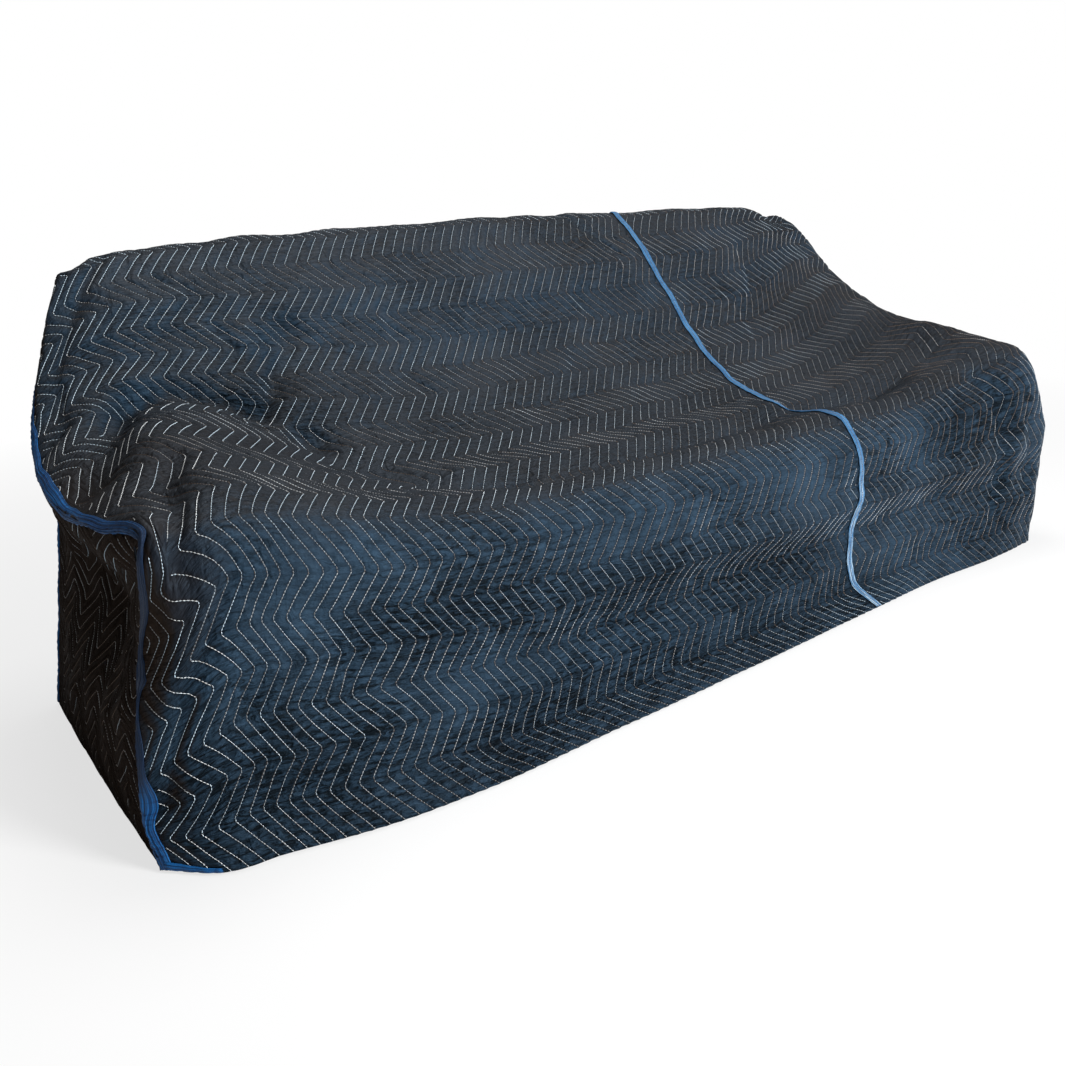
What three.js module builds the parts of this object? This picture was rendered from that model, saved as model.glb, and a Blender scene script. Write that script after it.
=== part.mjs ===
// A fitted moving cover for a three-seat sofa, as it hangs over the sofa's arms, seat and back.
// Quilted cloth in four cut pieces, two long panels that run from the front hem over the seat and
// the back to the rear hem, and one panel for each end, with a blue binding tape on each seam.
// The cover is hollow and open below. Millimetres, +X along the sofa, -Y its front, +Z up.
import * as THREE from 'three';

// ---------- driving dimensions ----------
const halfLength = 1150; // from the middle of the sofa to each end seam, along the cloth's width
const middleSeam = 430; // where the two long panels meet, to the right of the middle
const clothThickness = 4;
const seamGap = 0.5; // between the two long panels, under the tape
const tapeHalf = 12; // width of the tape on each side of its seam
const tapeThickness = 3;
const middleTapeGap = 0.8; // from the middle seam's tape to the cloth below it
const endInset = 9; // how far an end panel's edge lies under the long panel's edge
const hemRise = 5; // the hem's lowest stitch line above the floor
const endTaperStart = 690; // from here out the ends draw in or out to their seams
const originShift = { x: 9, y: -9 }; // puts the origin under the middle of the cover

// ---------- the way of the cloth, from the front hem to the rear hem ----------
// along: distance up the cloth. leftEnd, rightEnd: X of each end seam at that place.
const stages = [
  { name: 'foot', along: 0, leftEnd: -1178, rightEnd: 1140 },
  { name: 'flare', along: 72, leftEnd: -1187, rightEnd: 1155 },
  { name: 'tuck', along: 210, leftEnd: -1178, rightEnd: 1172 },
  { name: 'bulge', along: 352, leftEnd: -1140, rightEnd: 1165 },
  { name: 'lip', along: 490, leftEnd: -1120, rightEnd: 1138 },
  { name: 'seat', along: 635, leftEnd: -1152, rightEnd: 1114 },
  { name: 'valley', along: 810, leftEnd: -1155, rightEnd: 1118 },
  { name: 'slope', along: 1060, leftEnd: -1130, rightEnd: 1118 },
  { name: 'brow', along: 1300, leftEnd: -1070, rightEnd: 1084 },
  { name: 'top', along: 1450, leftEnd: -1014, rightEnd: 1028 },
  { name: 'rear', along: 1550, leftEnd: -1020, rightEnd: 1026 },
  { name: 'waist', along: 2045, leftEnd: -1080, rightEnd: 1120 },
  { name: 'heel', along: 2375, leftEnd: -1142, rightEnd: 1130 },
];
const rearHem = stages[stages.length - 1].along;

// One row for each section across the sofa: how far forward (Y) and how high (Z) the cloth passes.
const sectionColumns = [
  'across', 'hemY', 'tuckY', 'bulgeY', 'lipY', 'lipZ', 'seatY', 'seatZ', 'valleyY', 'valleyZ',
  'slopeY', 'slopeZ', 'browY', 'browZ', 'topY', 'topZ',
];
const sectionRows = [
  [-1150, -365, -330, -305, -356, 505, -200, 500, 20, 494, 238, 548, 358, 666, 417, 768],
  [-1128, -392, -366, -380, -372, 512, -200, 514, 34, 508, 244, 572, 362, 704, 426, 800],
  [-1106, -418, -386, -391, -373, 515, -200, 525, 46, 525, 248, 594, 360, 730, 427, 820],
  [-1000, -448, -410, -400, -360, 515, -200, 560, 70, 585, 255, 640, 355, 780, 430, 858],
  [-862, -478, -415, -395, -340, 480, -200, 520, 50, 555, 240, 645, 345, 798, 440, 875],
  [-690, -487, -395, -380, -330, 440, -190, 465, 20, 490, 215, 630, 335, 796, 440, 881],
  [-402, -468, -355, -366, -325, 412, -190, 432, -20, 462, 182, 600, 325, 790, 440, 886],
  [0, -440, -340, -360, -315, 410, -185, 430, -25, 455, 180, 596, 325, 790, 445, 888],
  [430, -404, -335, -358, -305, 412, -175, 432, -10, 460, 175, 595, 330, 790, 450, 880],
  [690, -385, -338, -358, -305, 420, -175, 445, 0, 478, 190, 602, 345, 792, 450, 878],
  [920, -385, -350, -370, -310, 460, -170, 500, 20, 532, 245, 662, 380, 815, 448, 864],
  [1058, -372, -370, -380, -330, 486, -170, 541, 50, 570, 278, 682, 395, 806, 450, 838],
  [1122, -358, -355, -358, -311, 476, -156, 522, 50, 554, 280, 672, 396, 800, 446, 828],
  [1150, -326, -318, -314, -280, 450, -150, 484, 50, 510, 280, 632, 396, 752, 438, 784],
];
// The hem spreads out over the floor in front of the tuck. The more it spreads, the lower lie the
// flare and the tuck, each at its rise less its share of the spread.
const flare = { reach: 0.6, rise: 75, sag: 0.37 };
const tuck = { rise: 205, sag: 0.5 };
const bulgeShare = 0.69; // the front bulges most at this share of the lip's height
const rear = { set: 35, drop: 45 }; // the rear edge lies behind and below the top
const waistZ = 320;
const heelIn = 30; // the rear hem lies this far before the top

// ---------- main folds, by hand: soft troughs (depth > 0) and ridges (depth < 0) ----------
// path: places on the cloth as [across, along].
const folds = [
  { name: 'arm meets back', depth: 26, width: 34, path: [
    [-1016, 940], [-960, 996], [-885, 1010], [-810, 988], [-730, 950], [-655, 880],
  ] },
  { name: 'behind the front roll', depth: 22, width: 42, path: [
    [-655, 880], [-620, 785], [-575, 700], [-480, 628], [-330, 612], [-110, 622], [110, 636],
    [320, 648],
  ] },
  { name: 'slant on the back', depth: 13, width: 30, path: [
    [-604, 1172], [-636, 1110], [-680, 1030], [-730, 950],
  ] },
  { name: 'wing meets arm', depth: 30, width: 46, path: [
    [-962, 990], [-1018, 875], [-1060, 800], [-1090, 772],
  ] },
  { name: 'pleat at the front corner', depth: 32, width: 26, path: [
    [-985, 700], [-1040, 640], [-1076, 570], [-1098, 500], [-1108, 440],
  ] },
  { name: 'beside the front seam', depth: 12, width: 16, path: [
    [-1046, 400], [-1086, 340], [-1108, 270], [-1122, 190], [-1132, 110],
  ] },
  { name: 'left shoulder of the back', depth: -10, width: 20, path: [
    [-1126, 1120], [-1124, 1250], [-1110, 1380], [-1090, 1440],
  ] },
  { name: 'left edge of the back', depth: 12, width: 26, path: [
    [-950, 1430], [-1016, 1360], [-1066, 1256], [-1096, 1148], [-1096, 1000],
  ] },
  { name: 'seat meets right arm', depth: 26, width: 48, path: [
    [470, 668], [554, 668], [634, 626], [800, 640], [950, 658],
  ] },
  { name: 'under the right bulge', depth: 16, width: 52, path: [
    [450, 350], [582, 368], [726, 398], [880, 462],
  ] },
];

// ---------- end panels: where the cloth is drawn in below the arm ----------
// Each hollow is a soft dent, centred at hollowY, hollowZ; the hem bows out by hemBow.
// Near its seams a panel stays taut: the dent begins within seamHold of them.
// tapeGap: from the end seam's tape to the cloth below it.
const seamHold = 85;
const ends = {
  left: {
    side: -1, hollowY: 60, hollowZ: 310, reachY: 270, reachZ: 145, depth: 90, hemBow: 6, tapeGap: 1.15,
  },
  right: {
    side: 1, hollowY: 60, hollowZ: 320, reachY: 280, reachZ: 150, depth: 40, hemBow: 8, tapeGap: 1,
  },
};

// ---------- how finely the cloth is cut into facets ----------
const rowRuns = [
  [210, 4], [352, 2], [560, 5], [720, 5], [1060, 7], [1300, 4], [1550, 6], [rearHem, 9],
];
const leftColumnRuns = [
  [-halfLength + tapeHalf, 1], [-1122, 1], [-1104, 1], [-900, 4], [-500, 5], [300, 5],
  [middleSeam - tapeHalf, 1], [middleSeam - seamGap / 2, 1],
];
const rightColumnRuns = [
  [middleSeam + tapeHalf, 1], [900, 5], [1110, 4], [halfLength - tapeHalf, 1], [halfLength, 1],
];
const frontEdgeRows = 9; // rows of the end seam that stand up its front edge
const rearEdgeRows = 9; // rows that come down its rear edge
const edgeShare = 0.25; // an extra line of facets this far into the first cell beside a seam

// ---------- smooth curves through tables ----------
// A Hermite curve through values at uneven knots, one list of numbers for each knot.
function smoothThrough(knots, values, at) {
  const last = knots.length - 1;
  let i = 0;
  while (i < last - 1 && at >= knots[i + 1]) i += 1;
  const step = knots[i + 1] - knots[i];
  const s = (at - knots[i]) / step;
  const rise = (k, n) => (values[k + 1][n] - values[k][n]) / (knots[k + 1] - knots[k]);
  const tangent = (k, n) => {
    if (k === 0) return rise(0, n);
    if (k === last) return rise(last - 1, n);
    const before = knots[k] - knots[k - 1];
    const after = knots[k + 1] - knots[k];
    return (rise(k - 1, n) * after + rise(k, n) * before) / (before + after);
  };
  return values[i].map((value, n) => {
    const start = (2 * s ** 3 - 3 * s ** 2 + 1) * value + (s ** 3 - 2 * s ** 2 + s) * step * tangent(i, n);
    const end = (3 * s ** 2 - 2 * s ** 3) * values[i + 1][n] + (s ** 3 - s ** 2) * step * tangent(i + 1, n);
    return start + end;
  });
}

function stopsAlong(start, runs) {
  const stops = [start];
  for (const [to, count] of runs) {
    const from = stops[stops.length - 1];
    for (let k = 1; k <= count; k += 1) stops.push(from + ((to - from) * k) / count);
  }
  return stops;
}

// ---------- the cloth's surface ----------
// A section's row becomes one [x, y, z] for each stage.
function sectionPoints(row) {
  const at = Object.fromEntries(sectionColumns.map((name, k) => [name, row[k]]));
  const spread = at.tuckY - at.hemY;
  const depthAndHeight = {
    foot: [at.hemY, hemRise],
    flare: [at.hemY + flare.reach * spread, flare.rise - flare.sag * spread],
    tuck: [at.tuckY, tuck.rise - tuck.sag * spread],
    bulge: [at.bulgeY, at.lipZ * bulgeShare],
    lip: [at.lipY, at.lipZ],
    seat: [at.seatY, at.seatZ],
    valley: [at.valleyY, at.valleyZ],
    slope: [at.slopeY, at.slopeZ],
    brow: [at.browY, at.browZ],
    top: [at.topY, at.topZ],
    rear: [at.topY + rear.set, at.topZ - rear.drop],
    waist: [at.topY, waistZ],
    heel: [at.topY - heelIn, hemRise],
  };
  const taper = Math.max(0, (Math.abs(at.across) - endTaperStart) / (halfLength - endTaperStart)) ** 2;
  return stages.flatMap((stage) => {
    const seam = at.across < 0 ? stage.leftEnd + halfLength : stage.rightEnd - halfLength;
    return [at.across + taper * seam, ...depthAndHeight[stage.name]];
  });
}
const sectionKnots = sectionRows.map((row) => row[0]);
const sectionValues = sectionRows.map(sectionPoints);
const stageKnots = stages.map((stage) => stage.along);

function smoothCloth(across, along) {
  const section = smoothThrough(sectionKnots, sectionValues, across);
  const points = stages.map((stage, k) => section.slice(3 * k, 3 * k + 3));
  return new THREE.Vector3(...smoothThrough(stageKnots, points, along));
}

function normalOf(surface, across, along) {
  const step = 3;
  const acrossCloth = surface(across + step, along).sub(surface(across - step, along));
  const alongCloth = surface(across, along + step).sub(surface(across, along - step));
  return acrossCloth.cross(alongCloth).normalize();
}

// How deep the folds press the cloth in at one place.
function foldDepth(across, along) {
  const place = new THREE.Vector3(across, along, 0);
  const nearest = new THREE.Vector3();
  let depth = 0;
  for (const fold of folds) {
    let distance = Infinity;
    for (let k = 0; k + 1 < fold.path.length; k += 1) {
      const from = new THREE.Vector3(...fold.path[k], 0);
      const leg = new THREE.Line3(from, new THREE.Vector3(...fold.path[k + 1], 0));
      leg.closestPointToPoint(place, true, nearest);
      distance = Math.min(distance, nearest.distanceTo(place));
    }
    depth += fold.depth * Math.exp(-((distance / fold.width) ** 2));
  }
  return depth;
}

function foldedCloth(across, along) {
  const inward = normalOf(smoothCloth, across, along).multiplyScalar(-foldDepth(across, along));
  return smoothCloth(across, along).add(inward);
}

// ---------- closed sheets from grids of points ----------
// outer and inner are grids of the same size.
function closedSheet(outer, inner) {
  const rows = outer.length;
  const columns = outer[0].length;
  const points = [...outer.flat(), ...inner.flat()];
  const outside = (r, c) => r * columns + c;
  const inside = (r, c) => (rows + r) * columns + c;
  const faces = [];
  const quad = (a, b, c, d) => faces.push(a, b, c, a, c, d);
  for (let r = 0; r + 1 < rows; r += 1) {
    for (let c = 0; c + 1 < columns; c += 1) {
      quad(outside(r, c), outside(r, c + 1), outside(r + 1, c + 1), outside(r + 1, c));
      quad(inside(r, c), inside(r + 1, c), inside(r + 1, c + 1), inside(r, c + 1));
    }
  }
  const top = rows - 1;
  for (let c = 0; c + 1 < columns; c += 1) {
    quad(outside(0, c), inside(0, c), inside(0, c + 1), outside(0, c + 1));
    quad(outside(top, c), outside(top, c + 1), inside(top, c + 1), inside(top, c));
  }
  const edge = columns - 1;
  for (let r = 0; r + 1 < rows; r += 1) {
    quad(outside(r, 0), outside(r + 1, 0), inside(r + 1, 0), inside(r, 0));
    quad(outside(r, edge), inside(r, edge), inside(r + 1, edge), outside(r + 1, edge));
  }
  return { points, faces };
}

function meshOf(name, solid, material) {
  const geometry = new THREE.BufferGeometry();
  const positions = solid.points.flatMap((point) => point.toArray());
  geometry.setAttribute('position', new THREE.Float32BufferAttribute(positions, 3));
  geometry.setIndex(solid.faces);
  geometry.computeVertexNormals();
  const mesh = new THREE.Mesh(geometry, material);
  mesh.name = name;
  return mesh;
}

// ---------- long panels ----------
const rowStops = stopsAlong(0, rowRuns);
const clothNormal = (across, along) => normalOf(foldedCloth, across, along);

function longPanel(name, start, columnRuns, material) {
  const columnStops = stopsAlong(start, columnRuns);
  const outer = rowStops.map((along) => columnStops.map((across) => foldedCloth(across, along)));
  const inner = outer.map((row, r) => row.map((point, c) => {
    const normal = clothNormal(columnStops[c], rowStops[r]);
    return point.clone().addScaledVector(normal, -clothThickness);
  }));
  return meshOf(name, closedSheet(outer, inner), material);
}

// ---------- end panels ----------
// A point at a fractional place in a grid of points, and the grid with extra lines by its seams.
function between(grid, row, column) {
  const r = Math.min(Math.floor(row), grid.length - 2);
  const c = Math.min(Math.floor(column), grid[0].length - 2);
  const low = grid[r][c].clone().lerp(grid[r][c + 1], column - c);
  const high = grid[r + 1][c].clone().lerp(grid[r + 1][c + 1], column - c);
  return low.lerp(high, row - r);
}

// Fills the shape between the seam's front edge, its top run, its rear edge and the hem.
function fillOutline(end, edge) {
  const topStart = frontEdgeRows;
  const topEnd = edge.length - 1 - rearEdgeRows;
  const front = edge.slice(0, topStart + 1);
  const top = edge.slice(topStart, topEnd + 1);
  const back = edge.slice(topEnd).reverse();
  const hemStart = front[0];
  const hemEnd = back[0];
  const hem = top.map((point) => {
    const share = (point.y - top[0].y) / (top[top.length - 1].y - top[0].y);
    const place = hemStart.clone().lerp(hemEnd, share);
    place.x += end.side * end.hemBow * Math.sin(Math.PI * share);
    return place;
  });
  const rows = front.length - 1;
  const columns = top.length - 1;
  return front.map((frontPoint, r) => top.map((topPoint, c) => {
    const v = r / rows;
    const u = c / columns;
    const place = new THREE.Vector3();
    place.addScaledVector(frontPoint, 1 - u).addScaledVector(back[r], u);
    place.addScaledVector(hem[c], 1 - v).addScaledVector(topPoint, v);
    place.addScaledVector(hemStart, -(1 - u) * (1 - v)).addScaledVector(hemEnd, -u * (1 - v));
    place.addScaledVector(top[0], -(1 - u) * v).addScaledVector(top[columns], -u * v);
    return place;
  }));
}

// How far a point lies from the nearest leg of a seam.
function fromSeam(point, seam) {
  const nearest = new THREE.Vector3();
  let distance = Infinity;
  for (let k = 0; k + 1 < seam.length; k += 1) {
    new THREE.Line3(seam[k], seam[k + 1]).closestPointToPoint(point, true, nearest);
    distance = Math.min(distance, nearest.distanceTo(point));
  }
  return distance;
}

function drawIn(end, seam, grid) {
  return grid.map((line) => line.map((point) => {
    const y = (point.y - end.hollowY) / end.reachY;
    const z = (point.z - end.hollowZ) / end.reachZ;
    const loose = 1 - Math.exp(-((fromSeam(point, seam) / seamHold) ** 2));
    return point.clone().setX(point.x - end.side * end.depth * loose * Math.exp(-(y * y) - z * z));
  }));
}

// Outward normals of a grid of points, out of the sofa's end on the given side.
function gridNormals(grid, side) {
  const rows = grid.length - 1;
  const columns = grid[0].length - 1;
  return grid.map((line, r) => line.map((point, c) => {
    const over = line[Math.min(c + 1, columns)].clone().sub(line[Math.max(c - 1, 0)]);
    const up = grid[Math.min(r + 1, rows)][c].clone().sub(grid[Math.max(r - 1, 0)][c]);
    const normal = over.cross(up).normalize();
    return normal.x * side < 0 ? normal.negate() : normal;
  }));
}

// Row and column of each of the seam's points in the end panel's grid.
function seamPlaces(rows, columns) {
  const places = [];
  for (let r = 0; r < rows; r += 1) places.push([r, 0]);
  for (let c = 0; c < columns; c += 1) places.push([rows, c]);
  for (let r = rows; r >= 0; r -= 1) places.push([r, columns]);
  return places;
}

// Direction along the end panel, square to its seam and away from it, at each of the seam's points.
function awayFromSeam(seam, grid) {
  const rows = grid.length - 1;
  const columns = grid[0].length - 1;
  const places = seamPlaces(rows, columns);
  return seam.map((point, k) => {
    const row = Math.min(places[k][0], rows - 1);
    const column = Math.min(Math.max(places[k][1], 1), columns - 1);
    const before = seam[Math.max(k - 1, 0)];
    const after = seam[Math.min(k + 1, seam.length - 1)];
    const run = after.clone().sub(before).normalize();
    const away = grid[row][column].clone().sub(point);
    return away.addScaledVector(run, -away.dot(run)).normalize();
  });
}

function endPanelLayout(end) {
  const across = end.side * halfLength;
  const seam = rowStops.map((along) => foldedCloth(across, along));
  const away = awayFromSeam(seam, drawIn(end, seam, fillOutline(end, seam)));
  const edge = seam.map((point, k) => point.clone().addScaledVector(away[k], endInset));
  const cells = drawIn(end, edge, fillOutline(end, edge));
  const rows = cells.length - 1;
  const columns = cells[0].length - 1;
  const rowPlaces = [...Array(rows).keys(), rows - edgeShare, rows];
  const columnPlaces = [0, edgeShare, ...[...Array(columns).keys()].slice(1), columns - edgeShare, columns];
  const grid = rowPlaces.map((row) => columnPlaces.map((column) => between(cells, row, column)));
  return { seam, away, cells, grid };
}

function endPanel(name, end, material) {
  const { grid } = endPanelLayout(end);
  const normals = gridNormals(grid, end.side);
  const outer = end.side < 0 ? grid.map((line) => [...line].reverse()) : grid;
  const facing = end.side < 0 ? normals.map((line) => [...line].reverse()) : normals;
  const inner = outer.map((line, r) => line.map((point, c) => {
    return point.clone().addScaledVector(facing[r][c], -clothThickness);
  }));
  return meshOf(name, closedSheet(outer, inner), material);
}

// ---------- binding tapes ----------
// sections: for each row the seam's corner and the cloth on both sides, each with its normal.
function bindingTape(name, sections, gap, material) {
  const lay = (place, lift) => place.point.clone().addScaledVector(place.normal, lift);
  const under = sections.map((places) => places.map((place) => lay(place, gap)));
  const over = sections.map((places) => places.map((place) => lay(place, gap + tapeThickness)));
  return meshOf(name, closedSheet(over, under), material);
}

function clothPlace(across, along) {
  return { point: foldedCloth(across, along), normal: clothNormal(across, along) };
}

function middleTapeSections() {
  const places = [middleSeam - tapeHalf, middleSeam, middleSeam + tapeHalf];
  return rowStops.map((along) => places.map((across) => clothPlace(across, along)));
}

function endTapeSections(end) {
  const { seam, away, cells } = endPanelLayout(end);
  const normals = gridNormals(cells, end.side);
  const places = seamPlaces(cells.length - 1, cells[0].length - 1);
  return rowStops.map((along, k) => {
    const [row, column] = places[k];
    const endNormal = normals[row][column];
    const onPanel = clothPlace(end.side * (halfLength - tapeHalf), along);
    const clothSide = clothNormal(end.side * halfLength, along);
    const corner = { point: seam[k], normal: clothSide.add(endNormal) };
    const onEnd = { point: seam[k].clone().addScaledVector(away[k], tapeHalf), normal: endNormal };
    const across = [onPanel, corner, onEnd];
    return end.side < 0 ? across.reverse() : across;
  });
}

// ---------- the cover ----------
const quilted = new THREE.MeshStandardMaterial({ color: 0x1d242c, roughness: 0.85, metalness: 0 });
const blueTape = new THREE.MeshStandardMaterial({ color: 0x2f66a8, roughness: 0.6, metalness: 0 });

const cover = new THREE.Group();
cover.position.set(originShift.x, originShift.y, 0);
cover.add(longPanel('long_panel_left', -halfLength, leftColumnRuns, quilted));
cover.add(longPanel('long_panel_right', middleSeam + seamGap / 2, rightColumnRuns, quilted));
cover.add(endPanel('end_panel_left', ends.left, quilted));
cover.add(endPanel('end_panel_right', ends.right, quilted));
cover.add(bindingTape('binding_left', endTapeSections(ends.left), ends.left.tapeGap, blueTape));
cover.add(bindingTape('binding_middle', middleTapeSections(), middleTapeGap, blueTape));
cover.add(bindingTape('binding_right', endTapeSections(ends.right), ends.right.tapeGap, blueTape));

export default cover;
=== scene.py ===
# %% [markdown]
# # A quilted moving cover, hanging over a sofa
#
# Movers pull a fitted cover like this over a whole sofa. It is sewn from quilted moving-pad cloth:
# two long panels run from the front hem over the seat and the back to the rear hem, and one panel
# closes each end. A blue binding tape covers each seam. The sofa itself isn't modelled, so the
# cover is a hollow shell, and every fold has to be shaped as if the sofa were still inside.
#
# This lesson makes each cloth as one bmesh grid in flat cloth coordinates, then lays that grid over
# the sofa with a smooth surface function. So the quilting can be drawn on flat cloth, as a maker
# would sew it, and it bends over the arms and into the folds by itself.

import bmesh
import bpy
import numpy as np
from mathutils import Matrix, Vector


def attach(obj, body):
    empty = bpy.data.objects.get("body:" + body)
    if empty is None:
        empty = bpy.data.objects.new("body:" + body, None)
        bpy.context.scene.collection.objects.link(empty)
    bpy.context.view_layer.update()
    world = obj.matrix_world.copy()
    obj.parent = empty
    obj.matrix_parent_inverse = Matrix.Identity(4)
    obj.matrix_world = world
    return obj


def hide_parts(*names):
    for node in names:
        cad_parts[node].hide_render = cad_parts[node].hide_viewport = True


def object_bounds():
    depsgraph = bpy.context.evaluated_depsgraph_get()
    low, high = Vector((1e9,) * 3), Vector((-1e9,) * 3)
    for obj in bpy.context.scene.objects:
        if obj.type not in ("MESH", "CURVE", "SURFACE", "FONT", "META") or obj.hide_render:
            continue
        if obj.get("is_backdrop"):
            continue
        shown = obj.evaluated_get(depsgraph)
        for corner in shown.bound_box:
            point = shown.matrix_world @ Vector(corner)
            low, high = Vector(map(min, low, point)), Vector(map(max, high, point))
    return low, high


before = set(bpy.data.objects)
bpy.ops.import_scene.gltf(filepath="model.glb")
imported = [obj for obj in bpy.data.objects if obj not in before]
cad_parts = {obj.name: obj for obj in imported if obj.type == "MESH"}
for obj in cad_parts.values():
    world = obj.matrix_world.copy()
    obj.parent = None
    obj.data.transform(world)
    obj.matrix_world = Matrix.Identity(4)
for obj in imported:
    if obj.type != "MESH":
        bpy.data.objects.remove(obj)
cad_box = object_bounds()
print("CAD nodes:", sorted(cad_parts))
print("CAD box:", [[round(x, 3) for x in corner] for corner in cad_box])

# %% [markdown]
# ## The way of the cloth
#
# A cloth has two coordinates: *across* (along the sofa, from its middle) and *along* (up the cloth
# from the front hem). A table gives, for some sections across the sofa, how far forward and how
# high the cloth passes at each stage of its way. These are the same tables as in the CAD source,
# in millimetres, so the dressed cloth lies where the solids lie.

# %% Stages and sections
MM = 0.001
HALF_LENGTH = 1150
MIDDLE_SEAM = 430
END_TAPER_START = 690
HEM_RISE = 5
ORIGIN_SHIFT = np.array([9.0, -9.0, 0.0])  # from the table's origin to the CAD's

# name: (distance along the cloth, X of the left end seam, X of the right end seam)
STAGES = {
    "foot": (0, -1178, 1140),
    "flare": (72, -1187, 1155),
    "tuck": (210, -1178, 1172),
    "bulge": (352, -1140, 1165),
    "lip": (490, -1120, 1138),
    "seat": (635, -1152, 1114),
    "valley": (810, -1155, 1118),
    "slope": (1060, -1130, 1118),
    "brow": (1300, -1070, 1084),
    "top": (1450, -1014, 1028),
    "rear": (1550, -1020, 1026),
    "waist": (2045, -1080, 1120),
    "heel": (2375, -1142, 1130),
}
REAR_HEM = STAGES["heel"][0]

SECTION_COLUMNS = (
    "across hemY tuckY bulgeY lipY lipZ seatY seatZ valleyY valleyZ "
    "slopeY slopeZ browY browZ topY topZ"
).split()
SECTION_ROWS = [
    (-1150, -365, -330, -305, -356, 505, -200, 500, 20, 494, 238, 548, 358, 666, 417, 768),
    (-1128, -392, -366, -380, -372, 512, -200, 514, 34, 508, 244, 572, 362, 704, 426, 800),
    (-1106, -418, -386, -391, -373, 515, -200, 525, 46, 525, 248, 594, 360, 730, 427, 820),
    (-1000, -448, -410, -400, -360, 515, -200, 560, 70, 585, 255, 640, 355, 780, 430, 858),
    (-862, -478, -415, -395, -340, 480, -200, 520, 50, 555, 240, 645, 345, 798, 440, 875),
    (-690, -487, -395, -380, -330, 440, -190, 465, 20, 490, 215, 630, 335, 796, 440, 881),
    (-402, -468, -355, -366, -325, 412, -190, 432, -20, 462, 182, 600, 325, 790, 440, 886),
    (0, -440, -340, -360, -315, 410, -185, 430, -25, 455, 180, 596, 325, 790, 445, 888),
    (430, -404, -335, -358, -305, 412, -175, 432, -10, 460, 175, 595, 330, 790, 450, 880),
    (690, -385, -338, -358, -305, 420, -175, 445, 0, 478, 190, 602, 345, 792, 450, 878),
    (920, -385, -350, -370, -310, 460, -170, 500, 20, 532, 245, 662, 380, 815, 448, 864),
    (1058, -372, -370, -380, -330, 486, -170, 541, 50, 570, 278, 682, 395, 806, 450, 838),
    (1122, -358, -355, -358, -311, 476, -156, 522, 50, 554, 280, 672, 396, 800, 446, 828),
    (1150, -326, -318, -314, -280, 450, -150, 484, 50, 510, 280, 632, 396, 752, 438, 784),
]
FLARE_REACH, FLARE_RISE, FLARE_SAG = 0.6, 75, 0.37
TUCK_RISE, TUCK_SAG = 205, 0.5
BULGE_SHARE = 0.69
REAR_SET, REAR_DROP = 35, 45
WAIST_Z = 320
HEEL_IN = 30


def section_points(row):
    """The section's [x, y, z] at each stage, in millimetres."""
    at = dict(zip(SECTION_COLUMNS, row))
    spread = at["tuckY"] - at["hemY"]
    depth_and_height = {
        "foot": (at["hemY"], HEM_RISE),
        "flare": (at["hemY"] + FLARE_REACH * spread, FLARE_RISE - FLARE_SAG * spread),
        "tuck": (at["tuckY"], TUCK_RISE - TUCK_SAG * spread),
        "bulge": (at["bulgeY"], BULGE_SHARE * at["lipZ"]),
        "rear": (at["topY"] + REAR_SET, at["topZ"] - REAR_DROP),
        "waist": (at["topY"], WAIST_Z),
        "heel": (at["topY"] - HEEL_IN, HEM_RISE),
    }
    beyond = max(0, (abs(at["across"]) - END_TAPER_START) / (HALF_LENGTH - END_TAPER_START))
    points = []
    for name, (_, left_end, right_end) in STAGES.items():
        drawn = left_end + HALF_LENGTH if at["across"] < 0 else right_end - HALF_LENGTH
        y, z = depth_and_height.get(name) or (at[name + "Y"], at[name + "Z"])
        points.append((at["across"] + beyond**2 * drawn, y, z))
    return points


SECTIONS = np.array([section_points(row) for row in SECTION_ROWS], float)
SECTION_KNOTS = np.array([row[0] for row in SECTION_ROWS], float)
STAGE_KNOTS = np.array([stage[0] for stage in STAGES.values()], float)
print("sections x stages:", SECTIONS.shape[:2])

# %% [markdown]
# ## A smooth surface through the table
#
# Between the table's places the cloth should run smoothly, with no corner at a table value. A
# Hermite curve does that: it passes through every value and takes its slope there from the two
# neighbours. Written as weights, one for each knot, it is a matrix product, so numpy can place a
# hundred thousand points of cloth in a moment.


# %% The smooth surface
def knot_weights(knots, at):
    """For each place, the weight of every knot's value."""
    last = len(knots) - 1
    steps = np.diff(knots)
    rise = np.zeros((last, last + 1))
    rise[range(last), range(last)] = -1 / steps
    rise[range(last), range(1, last + 1)] = 1 / steps
    tangents = np.zeros((last + 1, last + 1))
    tangents[0], tangents[last] = rise[0], rise[last - 1]
    for k in range(1, last):
        before, after = steps[k - 1], steps[k]
        tangents[k] = (rise[k - 1] * after + rise[k] * before) / (before + after)
    i = np.clip(np.searchsorted(knots, at, side="right") - 1, 0, last - 1)
    s = (at - knots[i]) / steps[i]
    weights = np.zeros((len(at), last + 1))
    places = np.arange(len(at))
    weights[places, i] += 2 * s**3 - 3 * s**2 + 1
    weights[places, i + 1] += 3 * s**2 - 2 * s**3
    weights += ((s**3 - 2 * s**2 + s) * steps[i])[:, None] * tangents[i]
    weights += ((s**3 - s**2) * steps[i])[:, None] * tangents[i + 1]
    return weights


def smooth_cloth(across, along):
    """Points of the cloth without folds, in millimetres."""
    flat = SECTIONS.reshape(len(SECTIONS), -1)
    ways = (knot_weights(SECTION_KNOTS, across) @ flat).reshape(len(across), -1, 3)
    return np.einsum("ns,nsc->nc", knot_weights(STAGE_KNOTS, along), ways)


def unit(vectors):
    return vectors / np.linalg.norm(vectors, axis=-1, keepdims=True)


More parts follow.
